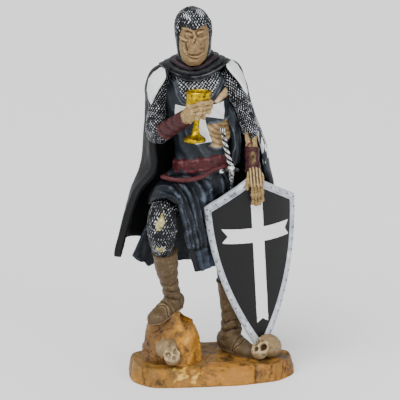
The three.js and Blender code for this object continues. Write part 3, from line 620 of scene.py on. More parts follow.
def woven(around, along):
    """Heights of mail from 0 to 1, for places counted in rings. A row shows one side of each of its rings, a
    short stroke that leans one way in a row and the other way in the next, half a ring on. A stroke is a
    bell curve of the distance from its leaning middle line, and it fades towards both ends of its row."""
    height = np.zeros_like(around)
    for row in (-1, 0, 1):
        level = np.floor(along) + row
        lean = 1 - 2 * (level % 2)
        up = along - level - 0.5
        across = (around + 0.25 * lean + 0.5 * lean * up + 0.6 * up**2) % 1 - 0.5
        height = np.maximum(height, np.exp(-((across / 0.22) ** 2) - (up / 0.6) ** 4))
    return height


def mailed(points):
    """Mail over a grid: its height from 0 to 1. The count of rings round it stays the same from end to end,
    and the rows follow the length."""
    girth = np.linalg.norm(np.roll(points, -1, axis=1) - points, axis=-1).sum(axis=1).mean()
    count = int(round(girth / ring_pitch))
    along = np.linalg.norm(np.gradient(points, axis=0), axis=-1).mean(axis=1).cumsum() / row_pitch
    around = np.arange(points.shape[1]) / points.shape[1] * count
    around, along = np.meshgrid(around, along)
    rings = woven(around + ring_waver * grain(points, 4, 3), along + ring_waver * grain(points, 4, 5))
    return rings * (0.9 + 0.25 * grain(points, 1.6, 7))


def in_mail(grid):
    """A grid covered with mail, silver where the rings stand up and black between them."""
    rings = mailed(grid)
    return {"points": raised(grid, ring_depth * rings), "relief": mail_brush * rings - mail_wash}


def inside(points, outline, sway=0.0, seed=0.0):
    """Distance in mm from each point, seen from the front, into an outline of X and Z places, negative
    outside it. The outline wavers by sway mm."""
    place = points[..., [0, 2]]
    if sway:
        place = place + sway * np.stack([grain(points, 2.2, seed), grain(points, 2.2, seed + 1)], -1)
    outline = np.array(outline, float)
    nearest = np.full(place.shape[:-1], 99.0)
    crossed = np.zeros(place.shape[:-1], bool)
    for a, b in zip(outline, np.roll(outline, -1, axis=0)):
        nearest = np.minimum(nearest, off_stretch(place, a, b))
        spans = (a[1] > place[..., 1]) != (b[1] > place[..., 1])
        across = (place[..., 1] - a[1]) * (b[0] - a[0]) / (b[1] - a[1] + 1e-9)
        crossed ^= spans & (place[..., 0] < a[0] + across)
    return np.where(crossed, nearest, -nearest)


mail_coat = (None, "#030407", "#0b0d13", "#e2e6ec", 0.1)
mail_paint = painted(
    "silver_dry_brushed_mail_paint",
    [mail_coat, ("bone", "#453c22", "#999162", "#cac598", 0.0)],
    grit=0.6,
    uneven=5,
    gloss=(0.38, 0.52),
)
legging = limb(raised_thigh, 162, 170)
rings = mailed(legging)
tear = np.maximum(inside(legging, knee_hole, 0.8, 31), inside(legging, shin_hole, 0.8, 33))
tear = np.where(legging[..., 1] < -18, tear, -9)
lip = bell(tear + 0.5, 0.5)
height = ring_depth * rings * step(0.2, -0.4, tear) + 0.7 * lip - 1.1 * step(0, 0.9, tear)
bone = 0.7 * rough(legging, 1.6, 35) + 0.15
wear_and_sheen = np.where(tear > 0, bone, mail_brush * rings - mail_wash - 0.15 + 0.4 * lip)
legging = raised(legging, height)
skin("mail_leg", [{"points": legging, "relief": wear_and_sheen, "bone": tear}], mail_paint, crease=180)
skin("standing_leg", [in_mail(limb(standing_thigh, 84, 96))], mail_paint, crease=180)

# Surcoat skirt
# Carved cloth in two panels, dragged over the raised thigh in long folds, ragged at the rear hem, and
# painted blue-black with a grey dry brush, with a painted highlight over the lap.
skirt_thickness = 2.6
skirt_front_net = [
    [(-39.5, -9, 104), (-37.4, -22, 109.6), (-30.4, -30, 113), (-22.2, -29, 109), (-18.6, -26, 96),
     (-15.4, -16, 79), (-10.4, -8, 59.5)],
    [(-38.5, -5, 109), (-33, -16, 117), (-25, -25, 117.5), (-18, -25, 108), (-14.2, -21.5, 94),
     (-10.4, -13.5, 78), (-6.6, -7, 59.5)],
    [(-33, -3, 116.5), (-24, -12, 120.5), (-15, -18.6, 116), (-10.6, -17.6, 105), (-8.4, -15, 94),
     (-5.2, -10.4, 79), (-2.4, -5.4, 61)],
    [(-23, -2, 121.5), (-13, -9.5, 122), (-5.5, -11.6, 115.5), (-2.6, -9.4, 104), (-0.4, -7, 92),
     (1.6, -5, 78), (2.6, -2.8, 62)],
    [(-8, -2, 124), (4, -4, 123.5), (10, -4.5, 115), (11.6, -2, 104), (14, 0.6, 92), (16.6, 3.4, 78),
     (18.6, 6, 62)],
]
skirt_back_net = [
    [(-27, 2, 114), (-23, 13, 117), (-9, 16.5, 118), (5, 13, 118), (9.5, 5, 118), (7, -3, 118)],
    [(-39, 4, 92), (-35, 18, 90), (-10, 25, 88), (14, 20, 90), (20, 10, 92), (16, 0, 93)],
    [(-51.6, 8.6, 64.6), (-40, 18.6, 57), (-14, 25, 59), (16, 24, 60), (26, 13, 62), (21, 4, 63)],
]


def on_net(net, across, down):
    """Places [down, across, 3] on a net of control points, on smooth curves along its rows and then down
    its columns."""
    rows = curve(np.swapaxes(np.array(net, float), 0, 1), across)
    return curve(np.swapaxes(rows, 0, 1), down)


def sheet(middle, thickness):
    """The closed grid of a thick sheet: each ring runs along one face of a row and back along the other.
    The faces stand half the thickness off the middle, less near the edges, which rounds them."""
    out = np.cross(np.gradient(middle, axis=1), np.gradient(middle, axis=0))
    out /= np.linalg.norm(out, axis=-1, keepdims=True) + 1e-9
    rows, columns = middle.shape[:2]
    i, j = np.meshgrid(np.arange(rows), np.arange(columns), indexing="ij")
    edge = np.minimum.reduce([i, rows - 1 - i, j, columns - 1 - j]) / 4
    half = thickness / 2 * np.sqrt(1 - (1 - np.clip(edge, 0.04, 1)) ** 2)
    front, back = middle + out * half[..., None], middle - out * half[..., None]
    return np.concatenate([front, back[:, ::-1]], axis=1)


def both(values):
    """The values of a sheet's rows, for its front face and again, in reverse, for its back."""
    return np.concatenate([values, values[:, ::-1]], axis=1)


across, down = np.linspace(0, 1, 100), np.linspace(0, 1, 136)
front_cloth = on_net(np.swapaxes(np.array(skirt_front_net, float), 0, 1), across, down)
u, v = np.meshgrid(across, down)
fold = np.sin(2 * np.pi * (4.5 * u + 0.1 * np.sin(5 * v)))
wander = 0.25 * grain(front_cloth, 9, 45) + 0.12 * grain(front_cloth, 4, 46)
aside = np.sqrt(np.sin(np.pi * (8.5 * u + 0.5 * v + wander)) ** 2 + 0.015)
below = step(0.845, 0.86, v)
creases = 1.5 * (0.7 - aside**0.6) * step(0.05, 0.3, v)
creases = creases + 0.5 * grain(front_cloth, 5, 47) * step(0.4, 0.1, v)
depth = 0.8 * step(0, 0.33, v) * fold * (1 - 0.45 * v) + creases * (1 - 0.8 * below)
front_cloth += np.stack([0.4 * depth, -depth, 0.6 * depth * (1 - v)], -1)
front_cloth = sheet(front_cloth, skirt_thickness)
seam = both(bell(v - 0.855, 0.006))
front_cloth = raised(front_cloth, 0.3 * rough(front_cloth, 4, 41) - 0.5 * seam)
skirt_paint = painted(
    "blue_black_cloth_paint",
    [(None, "#050608", "#151a21", "#576070", 0.0), ("hem", "#0d1118", "#36404e", "#778497", 0.0)],
    grit=0.8,
    uneven=7,
    gloss=(0.3, 0.5),
    bump=0.15,
)
hem = both(30 * (v - 0.858) * step(0.2, 0.3, u))
glint = both(step(0.4, 0.13, aside) * step(0.05, 0.3, v) * (1 - below))
# Painted highlight: a broad pool of brighter paint over the lap, standing in for the cloth's sheen there.
lap_sheen = bell(front_cloth[..., 0] + 1, 8) * bell(front_cloth[..., 2] - 108, 8)
wear_and_sheen = np.clip(0.6 * crest(front_cloth, 1.3, 1.4) - 0.3, -1, 0.1)
wear_and_sheen = wear_and_sheen + 0.42 * glint * (0.6 + 0.6 * grain(front_cloth, 12, 48))
wear_and_sheen = wear_and_sheen * (1 - 0.7 * lap_sheen) + lap_sheen * (0.25 + 0.9 * rough(front_cloth, 5.5, 49, 2))
skin("surcoat_skirt_front", [{"points": front_cloth, "relief": wear_and_sheen, "hem": hem}], skirt_paint)

across, down = np.linspace(0, 1, 110), np.linspace(0, 1, 50)
u, v = np.meshgrid(across, down)
back_cloth = on_net(skirt_back_net, across, down)
ragged = 0.18 * v * step(0.04, 0.2, u) * (np.sin(41 * u) + np.sin(67 * u + 1) + 0.8 * np.sin(113 * u))
hem_drop = (back_cloth[-1] - back_cloth[-5])[None] * (ragged * step(0.8, 1, v))[..., None]
back_cloth = back_cloth + hem_drop
waves = 1.5 * np.sin(2 * np.pi * (3.5 * u + 0.3)) + 0.4 * np.sin(2 * np.pi * (9 * u + 0.1))
back_cloth[..., 1] += v * waves
back_cloth = sheet(back_cloth, skirt_thickness)
back_cloth = raised(back_cloth, 0.2 * rough(back_cloth, 4, 43))
skin("surcoat_skirt_back", [dry_brushed(back_cloth, 1.6, 1.8)], skirt_paint)

# Surcoat
# The body in a black surcoat with a U-shaped neck over mail, a plain white cross on the chest, and a tear
# under it where ribs show.
body_stations = [
    (-9, 5, 104, 19, 12.5),
    (-8.5, 5, 114, 20, 13.5),
    (-6.8, 4.2, 124, 17.4, 12.6),
    (-6, 4, 134, 16.3, 11.4),
    (-7, 4.5, 147, 17.8, 12),
    (-8.6, 5, 161, 20, 13),
    (-10, 6, 173, 21.4, 13),
    (-10.6, 7, 182, 20, 11.5),
    (-11, 7.5, 188, 14, 9.5),
    (-11.4, 6.5, 195, 8, 8),
]
neck_line = [
    (-27.6, 196), (-27, 187.6), (-24.6, 184.6), (-21.4, 181), (-20.2, 177.6), (-19.4, 173.6), (-17.2, 170.2),
    (-11, 167.5), (-4.4, 169), (0, 173.4), (2.6, 178.4), (4.6, 182), (5, 196),
]
rib_hole = [
    (-3.6, 155), (0.5, 155.3), (5.2, 155.8), (9.7, 158.2), (12, 160.6), (10.8, 153.4), (10.3, 146.4),
    (8.7, 140.6), (2.4, 139.4), (-2, 140.9), (0.1, 142.8), (-2.2, 149.6),
]
collar_bone = [(0.2, 168.8), (3.3, 172.9), (8.8, 178.6), (10.4, 177), (10.3, 174.4), (8.6, 171.6), (3.3, 168)]
torso = limb(body_stations, 214, 232)
neck = inside(torso, neck_line)


def flared(points, hub, arms):
    """Distance in mm into a cross with widening arms, seen from the front. An arm is (tip x, tip z, half
    width at the hub, half width at the tip), and its edges curve outward with the 1.7th power of the way
    along."""
    place = points[..., [0, 2]] - hub
    reaches = []
    for tip_x, tip_z, waist, tip in arms:
        way = np.array([tip_x, tip_z]) - hub
        length = np.linalg.norm(way)
        ahead = place @ way / length
        aside = np.abs(place[..., 0] * way[1] - place[..., 1] * way[0]) / length
        half = waist + (tip - waist) * np.clip(ahead / length, 0, 1) ** 1.7
        reaches.append(np.minimum.reduce([half - aside, length - ahead, ahead + 1]))
    return np.maximum.reduce(reaches)


cross_hub = np.array([-8.2, 163.2])
cross_arms = [(-23, 163.4, 2.6, 4), (7.1, 163.4, 3, 5.9), (-5.1, 143.1, 2.8, 5.2), (-8.8, 173, 2.6, 3.4)]
cross = flared(torso, cross_hub, cross_arms)
rib_tear = inside(torso, rib_hole, 0.4, 51)
shoulder_bone = inside(torso, collar_bone, 0.2, 53)
outlines = (neck, cross, rib_tear, shoulder_bone)
neck, cross, rib_tear, shoulder_bone = (np.where(torso[..., 1] < 4, into, -9) for into in outlines)
rings = mailed(torso)
x, y, z = np.moveaxis(torso, -1, 0)
drape = z + 0.75 * x - 0.035 * x**2 + 0.8 * grain(torso, 5, 57)
ribs = 2 * np.abs(np.sin(np.pi * drape / 3.2)) ** 0.6 - 1.1
hang = np.sin(0.6 * x + 0.4 * z + 2.6 * grain(torso, 9, 55)) * (0.35 + 0.65 * step(160, 146, z))
hang = hang + 0.6 * bell(neck + 2.4, 0.5)
height = ring_depth * rings * step(-0.2, 0.4, neck)
height += 0.8 * step(0.4, -0.2, neck) * step(0, 8, 190 - z)
height += 0.6 * hang * step(0, -2, neck) + 0.12 * rough(torso, 4, 56)
height += 0.35 * bell(rib_tear + 0.4, 0.4) + step(0, 0.8, rib_tear) * (0.4 * ribs - 1.1)
height += 1.7 * np.sqrt(np.clip(shoulder_bone / 3, 0, 1))
clothed = raised(torso, height)
wear_and_sheen = np.where(neck > 0, mail_brush * rings - mail_wash + 0.3, crest(clothed, 1.4, 2))
wear_and_sheen = np.where(rib_tear > 0, 0.5 * ribs + 0.2 * rough(torso, 2.4, 58) - 0.05, wear_and_sheen)
side_fold_stations = [
    (9.4, 3, 166, 1.6, 3),
    (12.2, 2.4, 158, 3, 4),
    (14.2, 2, 149, 3.4, 4.4),
    (14.8, 2, 139, 3.4, 4.6),
    (14, 3, 128, 3, 4),
]
side_fold = limb(side_fold_stations, 90, 60)
t, angle = over(*side_fold.shape[:2])
pleat = 0.6 - 1.3 * np.abs(np.sin(1.5 * angle + 1.6 * t + 0.6 * grain(side_fold, 8, 59))) ** 0.6
side_fold = raised(side_fold, pleat + 0.15 * rough(side_fold, 3, 60))
surcoat_paint = painted(
    "black_surcoat_paint",
    [
        (None, "#050607", "#23282e", "#5c636d", 0.0),
        ("mail", *mail_coat[1:]),
        ("cross", "#c2c3c4", "#e6e7e8", "#ffffff", 0.0),
        ("bone", "#4a3520", "#9a7f57", "#cbb490", 0.0),
    ],
    grit=0.6,
    uneven=6,
    gloss=(0.3, 0.46),
)
cross = np.minimum(cross, -np.maximum(neck, rib_tear))
bone = np.maximum(rib_tear, shoulder_bone)
chest = {"points": clothed, "relief": wear_and_sheen, "mail": neck, "cross": cross, "bone": bone}
skin("surcoat_body", [chest, dry_brushed(side_fold, 1.2, 1.4)], surcoat_paint, crease=180)

# Belts
# A broad waist belt and a sword belt slung from the hip, in leather with long creases. They are carved on
# the figure and cast with it, and painted maroon with a lighter dry brush.
waist_belt = [
    (-6.1, 4, 123.6, 14, 9.6),
    (-6.2, 4, 125, 18.4, 13.6),
    (-6.8, 4, 133, 17.8, 13),
    (-6.9, 4, 134.4, 13, 8.6),
]
# From behind the goblet side's hip, low over the lap, up to the sword's guard, and round the back.
sling = [
    (-28, 8, 120), (-31, -4, 120.4), (-30.4, -13.6, 122.6), (-25, -18.7, 122.3), (-16.4, -18.8, 121.8),
    (-7, -15.5, 123), (0.5, -12, 126.4), (8, -8.2, 128.4), (12, 4, 128),
]
sling_thickness = 2
sling_height = 2.7
leather_paint = painted(
    "maroon_leather_paint",
    [(None, "#1a0a0c", "#4a2023", "#875358", 0.0)],
    grit=0.5,
    uneven=5,
    gloss=(0.36, 0.5),
    bump=0.15,
)


def creased(points, seed, depth):
    """Leather relief: a crease is a bell-shaped groove where grain, stretched level to four times its height,
    passes zero."""
    lines = rough(points * np.array([0.35, 0.35, 1.4]), 3.2, seed)
    return depth * (0.5 - bell(lines, 0.14)) + 0.06 * rough(points, 1.8, seed + 2)


belt = limb(waist_belt, 38, 210)
belt[..., 2] += 0.09 * (belt[..., 0] + 7)
t, angle = over(*belt.shape[:2])
edging = 0.3 * bell(t - 0.4, 0.03) + 0.25 * bell(t - 0.62, 0.03)
belt = raised(belt, creased(belt, 61, 0.12) + edging)
strap_stations = [(*place, sling_thickness / 2, sling_height / 2) for place in sling]
strap = limb(strap_stations, 180, 24, side=(0.1, -0.9, 0.3))
strap = raised(strap, creased(strap, 63, 0.25))
wear_and_sheen = crest(belt, 1, 1.6) + 0.35 * grain(belt, 1.4, 65)
skin("waist_belt", [{"points": belt, "relief": wear_and_sheen}], leather_paint)
skin("sword_belt", [dry_brushed(strap, 1, 1.6, 0.3)], leather_paint)

# Sword
# A sword hangs at the hip in its scabbard: round pommel, wire-bound grip and lobed guard, painted silver
# over black.
sword_grip = [
    (6.8, -7.2, 150.4, 1.1, 1.1),
    (8, -7.4, 143.4, 1.25, 1.25),
    (10, -7.8, 135.2, 1.3, 1.3),
    (12, -8.4, 128, 1.5, 1.5),
]
sword_guard = [
    (4.4, -10.4, 125.4, 1, 1.1),
    (5.8, -10.4, 125.6, 1.5, 1.5),
    (8.2, -9.6, 126, 1.1, 1.2),
    (12, -8.6, 126.8, 2, 2.6),
    (14.2, -8.2, 126.2, 1.3, 1.5),
    (15.8, -7.8, 125.8, 1.2, 1.2),
    (16.8, -7.6, 125.4, 0.7, 0.7),
]
scabbard = [
    (12.2, -8.4, 127, 2, 1.7),
    (12.2, -7.6, 121, 1.4, 1.4),
    (12.3, -6.6, 115, 0.9, 1.2),
    (12.8, -4, 104, 0.6, 1),
]
pommel_middle = np.array([6.5, -7.2, 151.2])
pommel_half = np.array([1.7, 1.6, 1.7])
silver_paint = painted(
    "silver_over_black_paint",
    [(None, "#020203", "#3a3b3d", "#f4f4f0", 0.2)],
    grit=0.4,
    uneven=3,
    gloss=(0.3, 0.45),
)
grip = limb(sword_grip, 110, 28, lambda t, angle: 0.24 * np.sin(2 * angle + 38 * t))
guard = limb(sword_guard, 80, 30, side=(0, 0, 1))
ray = rays(30, 40)
lobes = 1 + 0.08 * np.cos(6 * np.arctan2(ray[..., 0], -ray[..., 1]))
pommel = pommel_middle + ray * lobes[..., None] * pommel_half
sheath = limb(scabbard, 60, 26)
guard = raised(guard, 0.12 * rough(guard, 1.2, 71))
sheath = raised(sheath, 0.15 * rough(sheath, 1.4, 72))
parts = (grip, guard, pommel, sheath)
skin("sword", [dry_brushed(grid, 0.8, 2.6, 0.3) for grid in parts], silver_paint)

# Arms
# Mail sleeves, leather bracers wound round the wrists, and bare forearm bones on the shield side, all cast
# with the figure. The mail is painted like that of the legs, and the leather is maroon.
goblet_sleeve = [
    (-28, 6, 182.5, 5, 6),
    (-32.6, 3, 176.5, 5.6, 6.4),
    (-34.2, 0, 166, 5.4, 6.2),
    (-35.2, -2, 156, 5.8, 6.4),
    (-35, -4.6, 148.6, 5.9, 6),
    (-33.4, -7, 144.6, 3.2, 3.2),
]
goblet_bracer = [
    (-36, -3, 146.4, 4.4, 4.4),
    (-32.6, -6.4, 148.8, 5.8, 5.5),
    (-29.2, -10, 151.4, 5.1, 5.1),
    (-22.4, -16.6, 157, 4.6, 4.6),
    (-16.6, -22.4, 161.8, 4.9, 4.7),
    (-15.4, -23.6, 162.8, 3.4, 3.4),
]
shield_sleeve = [
    (6, 7, 184, 5, 5.6),
    (11, 4.6, 179.5, 6, 6.6),
    (15.7, 2.4, 171.5, 5.3, 6.2),
    (19.7, 1.6, 164.6, 5.2, 6),
    (22.2, -0.6, 156.6, 5, 5.6),
    (24.1, -3, 149.8, 4.6, 5),
    (24.2, -3.3, 148.8, 3.6, 3.8),
]
shield_bracer = [
    (25, -7, 140.4, 3, 3),
    (25, -7.3, 139.4, 4.4, 4),
    (25.2, -9.8, 132.4, 4.2, 4),
    (25.6, -12.8, 126.4, 4.9, 4.8),
    (25.6, -13.4, 125, 3.6, 3.4),
]
skin("goblet_sleeve", [in_mail(limb(goblet_sleeve, 150, 124))], mail_paint, crease=180)
skin("shield_sleeve", [in_mail(limb(shield_sleeve, 168, 124))], mail_paint, crease=180)
cuff = limb(goblet_bracer, 100, 80, side=(0, 0, 1))
t, angle = over(*cuff.shape[:2])
wrap = np.abs(np.sin(np.pi * (9 * t + 0.3 * np.sin(angle)))) ** 0.7 * step(0.8, 0.6, t)
wrist = step(0.36, 0.4, t)
cuff = raised(cuff, wrist * (0.5 * wrap + creased(cuff, 81, 0.15)) + 0.3 * wrist)
rings = mailed(cuff)
cuff = raised(cuff, (1 - wrist) * ring_depth * rings)
bracer_paint = painted(
    "maroon_bracer_paint",
    [
        (None, "#180a0b", "#3e1d1e", "#6d4243", 0.0),
        ("mail", *mail_coat[1:]),
        ("bone", "#2f2211", "#6b5836", "#a08a60", 0.0),
    ],
    grit=0.5,
    uneven=5,
    gloss=(0.36, 0.5),
)
wear_and_sheen = np.where(wrist > 0.5, crest(cuff, 1, 2), mail_brush * rings - mail_wash)
skin("goblet_bracer", [{"points": cuff, "relief": wear_and_sheen, "mail": 30 * (0.38 - t)}], bracer_paint)
cuff = limb(shield_bracer, 70, 70)
t, angle = over(*cuff.shape[:2])
window = 1 - np.hypot((t - 0.48) / 0.15, np.angle(np.exp(1j * (angle - np.pi + 0.1))) / 0.42)
lip = 0.12 * bell(window + 0.2, 0.15) - 0.5 * step(0, 0.3, window)
cuff = raised(cuff, 0.25 * np.abs(np.sin(np.pi * 6 * t)) ** 0.6 + creased(cuff, 83, 0.15) + lip)
wear_and_sheen = np.where(window > 0, 0.4 * rough(cuff, 1.6, 84) - 0.1, crest(cuff, 1, 2) - 0.3)
skin("shield_bracer", [{"points": cuff, "relief": wear_and_sheen, "bone": 2 * window}], bracer_paint)
bones = []
for s in (-1, 1):
    stations = [
        (23.9 + 2 * s, -2.8, 151, 2, 2),
        (24.4 + 2 * s, -5, 145.4, 1.7, 1.7),
        (25 + 1.8 * s, -7.4, 138.4, 1.9, 1.9),
    ]
    bone = limb(stations, 40, 28)
    bone = raised(bone, 0.25 * rough(bone, 2, 85 + s))
    bones.append(dry_brushed(bone, 0.8, 2.2))
hand_paint = painted(
    "dried_skin_paint",
    [(None, "#3f2f18", "#866e46", "#b89f74", 0.0)],
    grit=0.5,
    uneven=4,
    bump=0.15,
)
skin("forearm_bones", bones, hand_paint)

# Goblet
# Turned on a lathe as the model was made, with an open bowl, a knop and a round foot, painted bright gold
# with a brown wash, and darker on the stem and foot as a painted shade under the bowl.
goblet_height = 31.5
goblet_rim_radius = 7.9
goblet_foot_radius = 6.8
goblet_wall = 1.3
goblet_bowl_depth = 8
goblet_foot = np.array([-10.8, -25, 147.6])
goblet_lean = 0.08
# The radius, and the height as a share of the goblet's: from the foot's middle out and up to the lip, and
# over it down into the bowl.
goblet_outside = [
    (0.3, 0),
    (goblet_foot_radius - 0.3, 0),
    (goblet_foot_radius, 0.012),
    (goblet_foot_radius, 0.05),
    (6, 0.075),
    (4.4, 0.11),
    (3.1, 0.15),
    (2.3, 0.2),
    (1.9, 0.28),
    (1.8, 0.38),
    (2.1, 0.44),
    (3.4, 0.48),
    (5.2, 0.54),
    (6.6, 0.61),
    (7.2, 0.68),
    (7.5, 0.8),
    (7.75, 0.93),
    (goblet_rim_radius, 1 - 0.02),
]
goblet_inside = [
    (goblet_rim_radius - 0.3, 1),
    (goblet_rim_radius - goblet_wall + 0.3, 1),
    (goblet_rim_radius - goblet_wall, 1 - 0.015),
    (goblet_rim_radius - goblet_wall - 0.7, 1 - 0.7 * goblet_bowl_depth / goblet_height),
    (goblet_rim_radius - goblet_wall - 3, 1 - goblet_bowl_depth / goblet_height),
    (0.2, 1 - 1.04 * goblet_bowl_depth / goblet_height),
]
goblet_rings = 132
goblet_sides = 90


def around_goblet(angle, radius, up):
    """A place by its turn, distance from the goblet's axis and height above its foot, with the goblet's
    lean to the side."""
    x = goblet_lean * up + radius * np.sin(angle)
    return goblet_foot + np.stack([x, -radius * np.cos(angle), up + 0 * angle], -1)


stations = np.arange(len(goblet_outside + goblet_inside))
way = np.linspace(0, 1, goblet_rings) * stations[-1]
radius, share = (np.interp(way, stations, column)[:, None] for column in zip(*goblet_outside, *goblet_inside))
t, angle = over(goblet_rings, goblet_sides)
up = goblet_height * share + 0 * angle
cup = around_goblet(angle, radius, up)
outside = (way < len(goblet_outside) - 1)[:, None]
bands = outside * (bell(up - 29, 0.25) + bell(up - 26.8, 0.25) + bell(up - 21, 0.3))
cup = raised(cup, outside * 0.1 * rough(cup, 2.4, 91) - 0.12 * bands)
gold_paint = painted(
    "gold_paint_with_brown_wash",
    [(None, "#2a2400", "#ac8e00", "#efcd00", 0.95)],
    grit=0.5,
    uneven=5,
    gloss=(0.28, 0.42),
)
# The stem and foot are painted darker below 9 mm up: painted shade under the bowl and the hand.
relief = crest(cup, 1, 1) - 0.4 * bands + 0.55 * rough(cup, 1.5, 92) + 0.1 - 0.3 * step(9, 3, up)
skin("goblet", [{"points": cup, "relief": relief}], gold_paint, crease=40)

# Hands
# Bony hands with thin dried skin: the right one holds the goblet's bowl, and the left one lies over the top
# of the shield with its fingers hanging down.
palm_on_goblet = [
    (-17, -22, 161.4, 3.6, 4),
    (-15.6, -25.8, 163.8, 3.6, 4.8),
    (-14, -29.2, 166, 3.1, 5.4),
    (-12.2, -31.8, 167.4, 2.4, 5.4),
    (-10.8, -33, 168, 1, 4),
]
palm_on_shield = [
    (25.8, -12.4, 126.4, 3.2, 2.6),
    (26.1, -15.4, 127, 4, 2.6),
    (26.6, -19.6, 126, 4.7, 2.6),
    (27.2, -22.8, 121.8, 4.8, 2.2),
    (27.4, -23.4, 119, 3.8, 1.6),
]
thumb = [
    (23.4, -18.4, 125.4, 1.5, 1.6),
    (22.4, -21, 122.8, 1.4, 1.5),
    (21.8, -22.2, 119.4, 1.2, 1.4),
    (22, -22, 116.4, 0.9, 1),
]
# Each goblet finger's end, in half turns round the bowl, and its middle's distance from the rim's radius.
goblet_fingers = [(0.2, -0.3), (0.33, 0.3), (0.38, 0.6), (0.36, 0.7)]
shield_finger_tips = [107.2, 106.4, 107, 109.4]


def finger(path, seed, side, wash=0.0):
    """A finger swept along a path, with its width along side. The painter's wash on it is as dark as wash."""
    made = limb(path, 56, 26, side=side)
    return dry_brushed(raised(made, 0.2 * rough(made, 1.4, seed)), 0.7, 2, wash)


palm = limb(palm_on_goblet, 76, 70)
palm = raised(palm, 0.2 * rough(palm, 2.6, 101))
right_hand = [dry_brushed(palm, 1, 2.2)]
for k, (end, gap) in enumerate(goblet_fingers):

    def path(t, k=k, end=end, gap=gap):
        """Round the bowl at the finger's own height, thick at the knuckles."""
        knuckle = 0.28 * np.cos(4 * np.pi * t)
        up = (0.48 + 0.09 * k) * goblet_height + 1.1 * np.sin(np.pi * t) + 2.4 * t - 0.9
        places = around_goblet((-0.2 + (0.2 + end) * t) * np.pi, goblet_rim_radius + gap, up)
        return np.concatenate([places, np.stack([1.6 + knuckle, 1.6 + 0.6 * knuckle], -1)], -1)

    right_hand.append(finger(path, 101 + k, (0, 0, 1)))
skin("goblet_hand", right_hand, hand_paint)

palm = limb(palm_on_shield, 80, 80)
t, angle = over(*palm.shape[:2])
tendons = np.cos(2 * np.pi * (palm[..., 0] - 24.9 - 1.6 * t) / 1.95)
palm = raised(palm, 0.35 * tendons * (np.cos(angle) < 0) + 0.15 * rough(palm, 2, 107))
left_hand = [dry_brushed(palm, 0.8, 2.4, 0.2)]
for k, tip in enumerate(shield_finger_tips):

    def path(t, k=k, tip=tip):
        """Straight down the shield's face from the knuckles, bowed a little forward."""
        knuckle = 0.25 * np.cos(4 * np.pi * t)
        x = 24.9 + 1.9 * k + 0.7 * t
        y = -23.6 + 2.6 * t - 0.7 * np.sin(np.pi * t)
        return np.stack([x, y, 121 + (tip - 121) * t, 1.15 + knuckle, 1.3 + knuckle], -1)

    left_hand.append(finger(path, 110 + k, (1, 0, 0), 0.2))
left_hand.append(finger(thumb, 115, (1, 0, 0), 0.2))
skin("shield_hand", left_hand, hand_paint)

# Cape
# A heavy cape from both shoulders, open in front, with its front edges turned and the flared arm of a white
# cross over each shoulder. Black paint with a grey dry brush on the folds.
cape_thickness = 2.6
cape_rows = 124
cape_columns = 160
cape_net = [
    [(-25, -4, 190.5), (-26, 2, 192), (-20, 10, 193), (-10, 13, 193.6), (0, 10, 194), (5.4, 4, 194.5),
     (6.4, -3, 193)],
    [(-29, -8.4, 184), (-36.6, 1.6, 186.4), (-32, 14, 187.4), (-10, 21.5, 188.6), (12, 16, 189.6),
     (15.6, 6, 189), (11.6, -4, 187)],
    [(-34, -8.6, 175.6), (-40.4, 2, 175.6), (-37, 17, 176), (-10, 24.5, 177), (17, 18, 178),
     (20.4, 8, 177.6), (18, -2.6, 179)],
    [(-37.6, -4, 164.6), (-38.8, 3, 164.6), (-38.4, 19, 165), (-10, 26.5, 166), (20, 20, 166),
     (23, 11, 165.6), (22.6, 5, 166.4)],
    [(-35.6, -5.4, 140), (-39.4, 1, 140), (-40, 21, 139), (-9, 29, 138), (26, 22.5, 138),
     (33.4, 13.6, 139), (31, 7, 139.6)],
    [(-35.8, -6.8, 124), (-39.8, -0.6, 124), (-42.6, 21.4, 122.6), (-8.6, 30.2, 121), (27.8, 23.8, 121.6),
     (36.4, 14.6, 122.6), (33.8, 8, 123.2)],
    [(-46.8, -8.6, 108), (-51.2, -3, 108), (-45.4, 21.6, 106), (-8, 31.5, 104), (30, 25, 105),
     (39.6, 15.6, 106), (36.6, 9, 107)],
    [(-58.2, -12.4, 70.2), (-61.8, -7, 71), (-49, 23, 75), (-7, 33, 59), (31, 27, 62), (42.6, 17, 65),
     (40, 10, 66)],
]
left_arm_line = [
    (-29.6, 190.4), (-32.4, 190), (-36.8, 187), (-40, 182.4), (-41, 175.4), (-40.2, 170), (-38, 166.2),
    (-35.6, 166.6), (-35, 172.4), (-31.8, 176.8), (-29.4, 179), (-28.6, 186),
]
right_arm_line = [
    (8.7, 192.4), (12.4, 193.6), (16, 191), (19.4, 185), (21.2, 180.6), (22.8, 172.4), (21, 170.4),
    (19, 176.2), (14.3, 180.6), (10.6, 186.4), (9, 190),
]
across, down = np.linspace(0, 1, cape_columns), np.linspace(0, 1, cape_rows)
u, v = np.meshgrid(across, down)
cloth = on_net(cape_net, across, down)
edges = step(0, 0.2, u) * step(0, 0.2, 1 - u)
fold = np.sin(2 * np.pi * (4 * u + 0.2))
depth = (0.3 + 1.6 * v) * fold * edges
depth = depth + 0.35 * v * np.sin(2 * np.pi * (11 * u + 0.4 * np.sin(3 * v))) * edges
cloth[..., 0] -= 0.6 * depth * np.cos((-0.6 + 1.7 * u) * np.pi)
cloth[..., 1] += depth * np.sin((0.1 + 0.8 * u) * np.pi)
cloth = sheet(cloth, cape_thickness)
cloth = raised(cloth, 0.25 * rough(cloth, 9, 121) + 0.06 * rough(cloth, 2, 122))
arms = np.maximum(inside(cloth, left_arm_line, 0.15, 123), inside(cloth, right_arm_line, 0.15, 125))
arms = np.minimum(arms, 0.5 * (9 - cloth[..., 1]))
arms = np.where(np.arange(2 * cape_columns) < cape_columns, arms, -9)
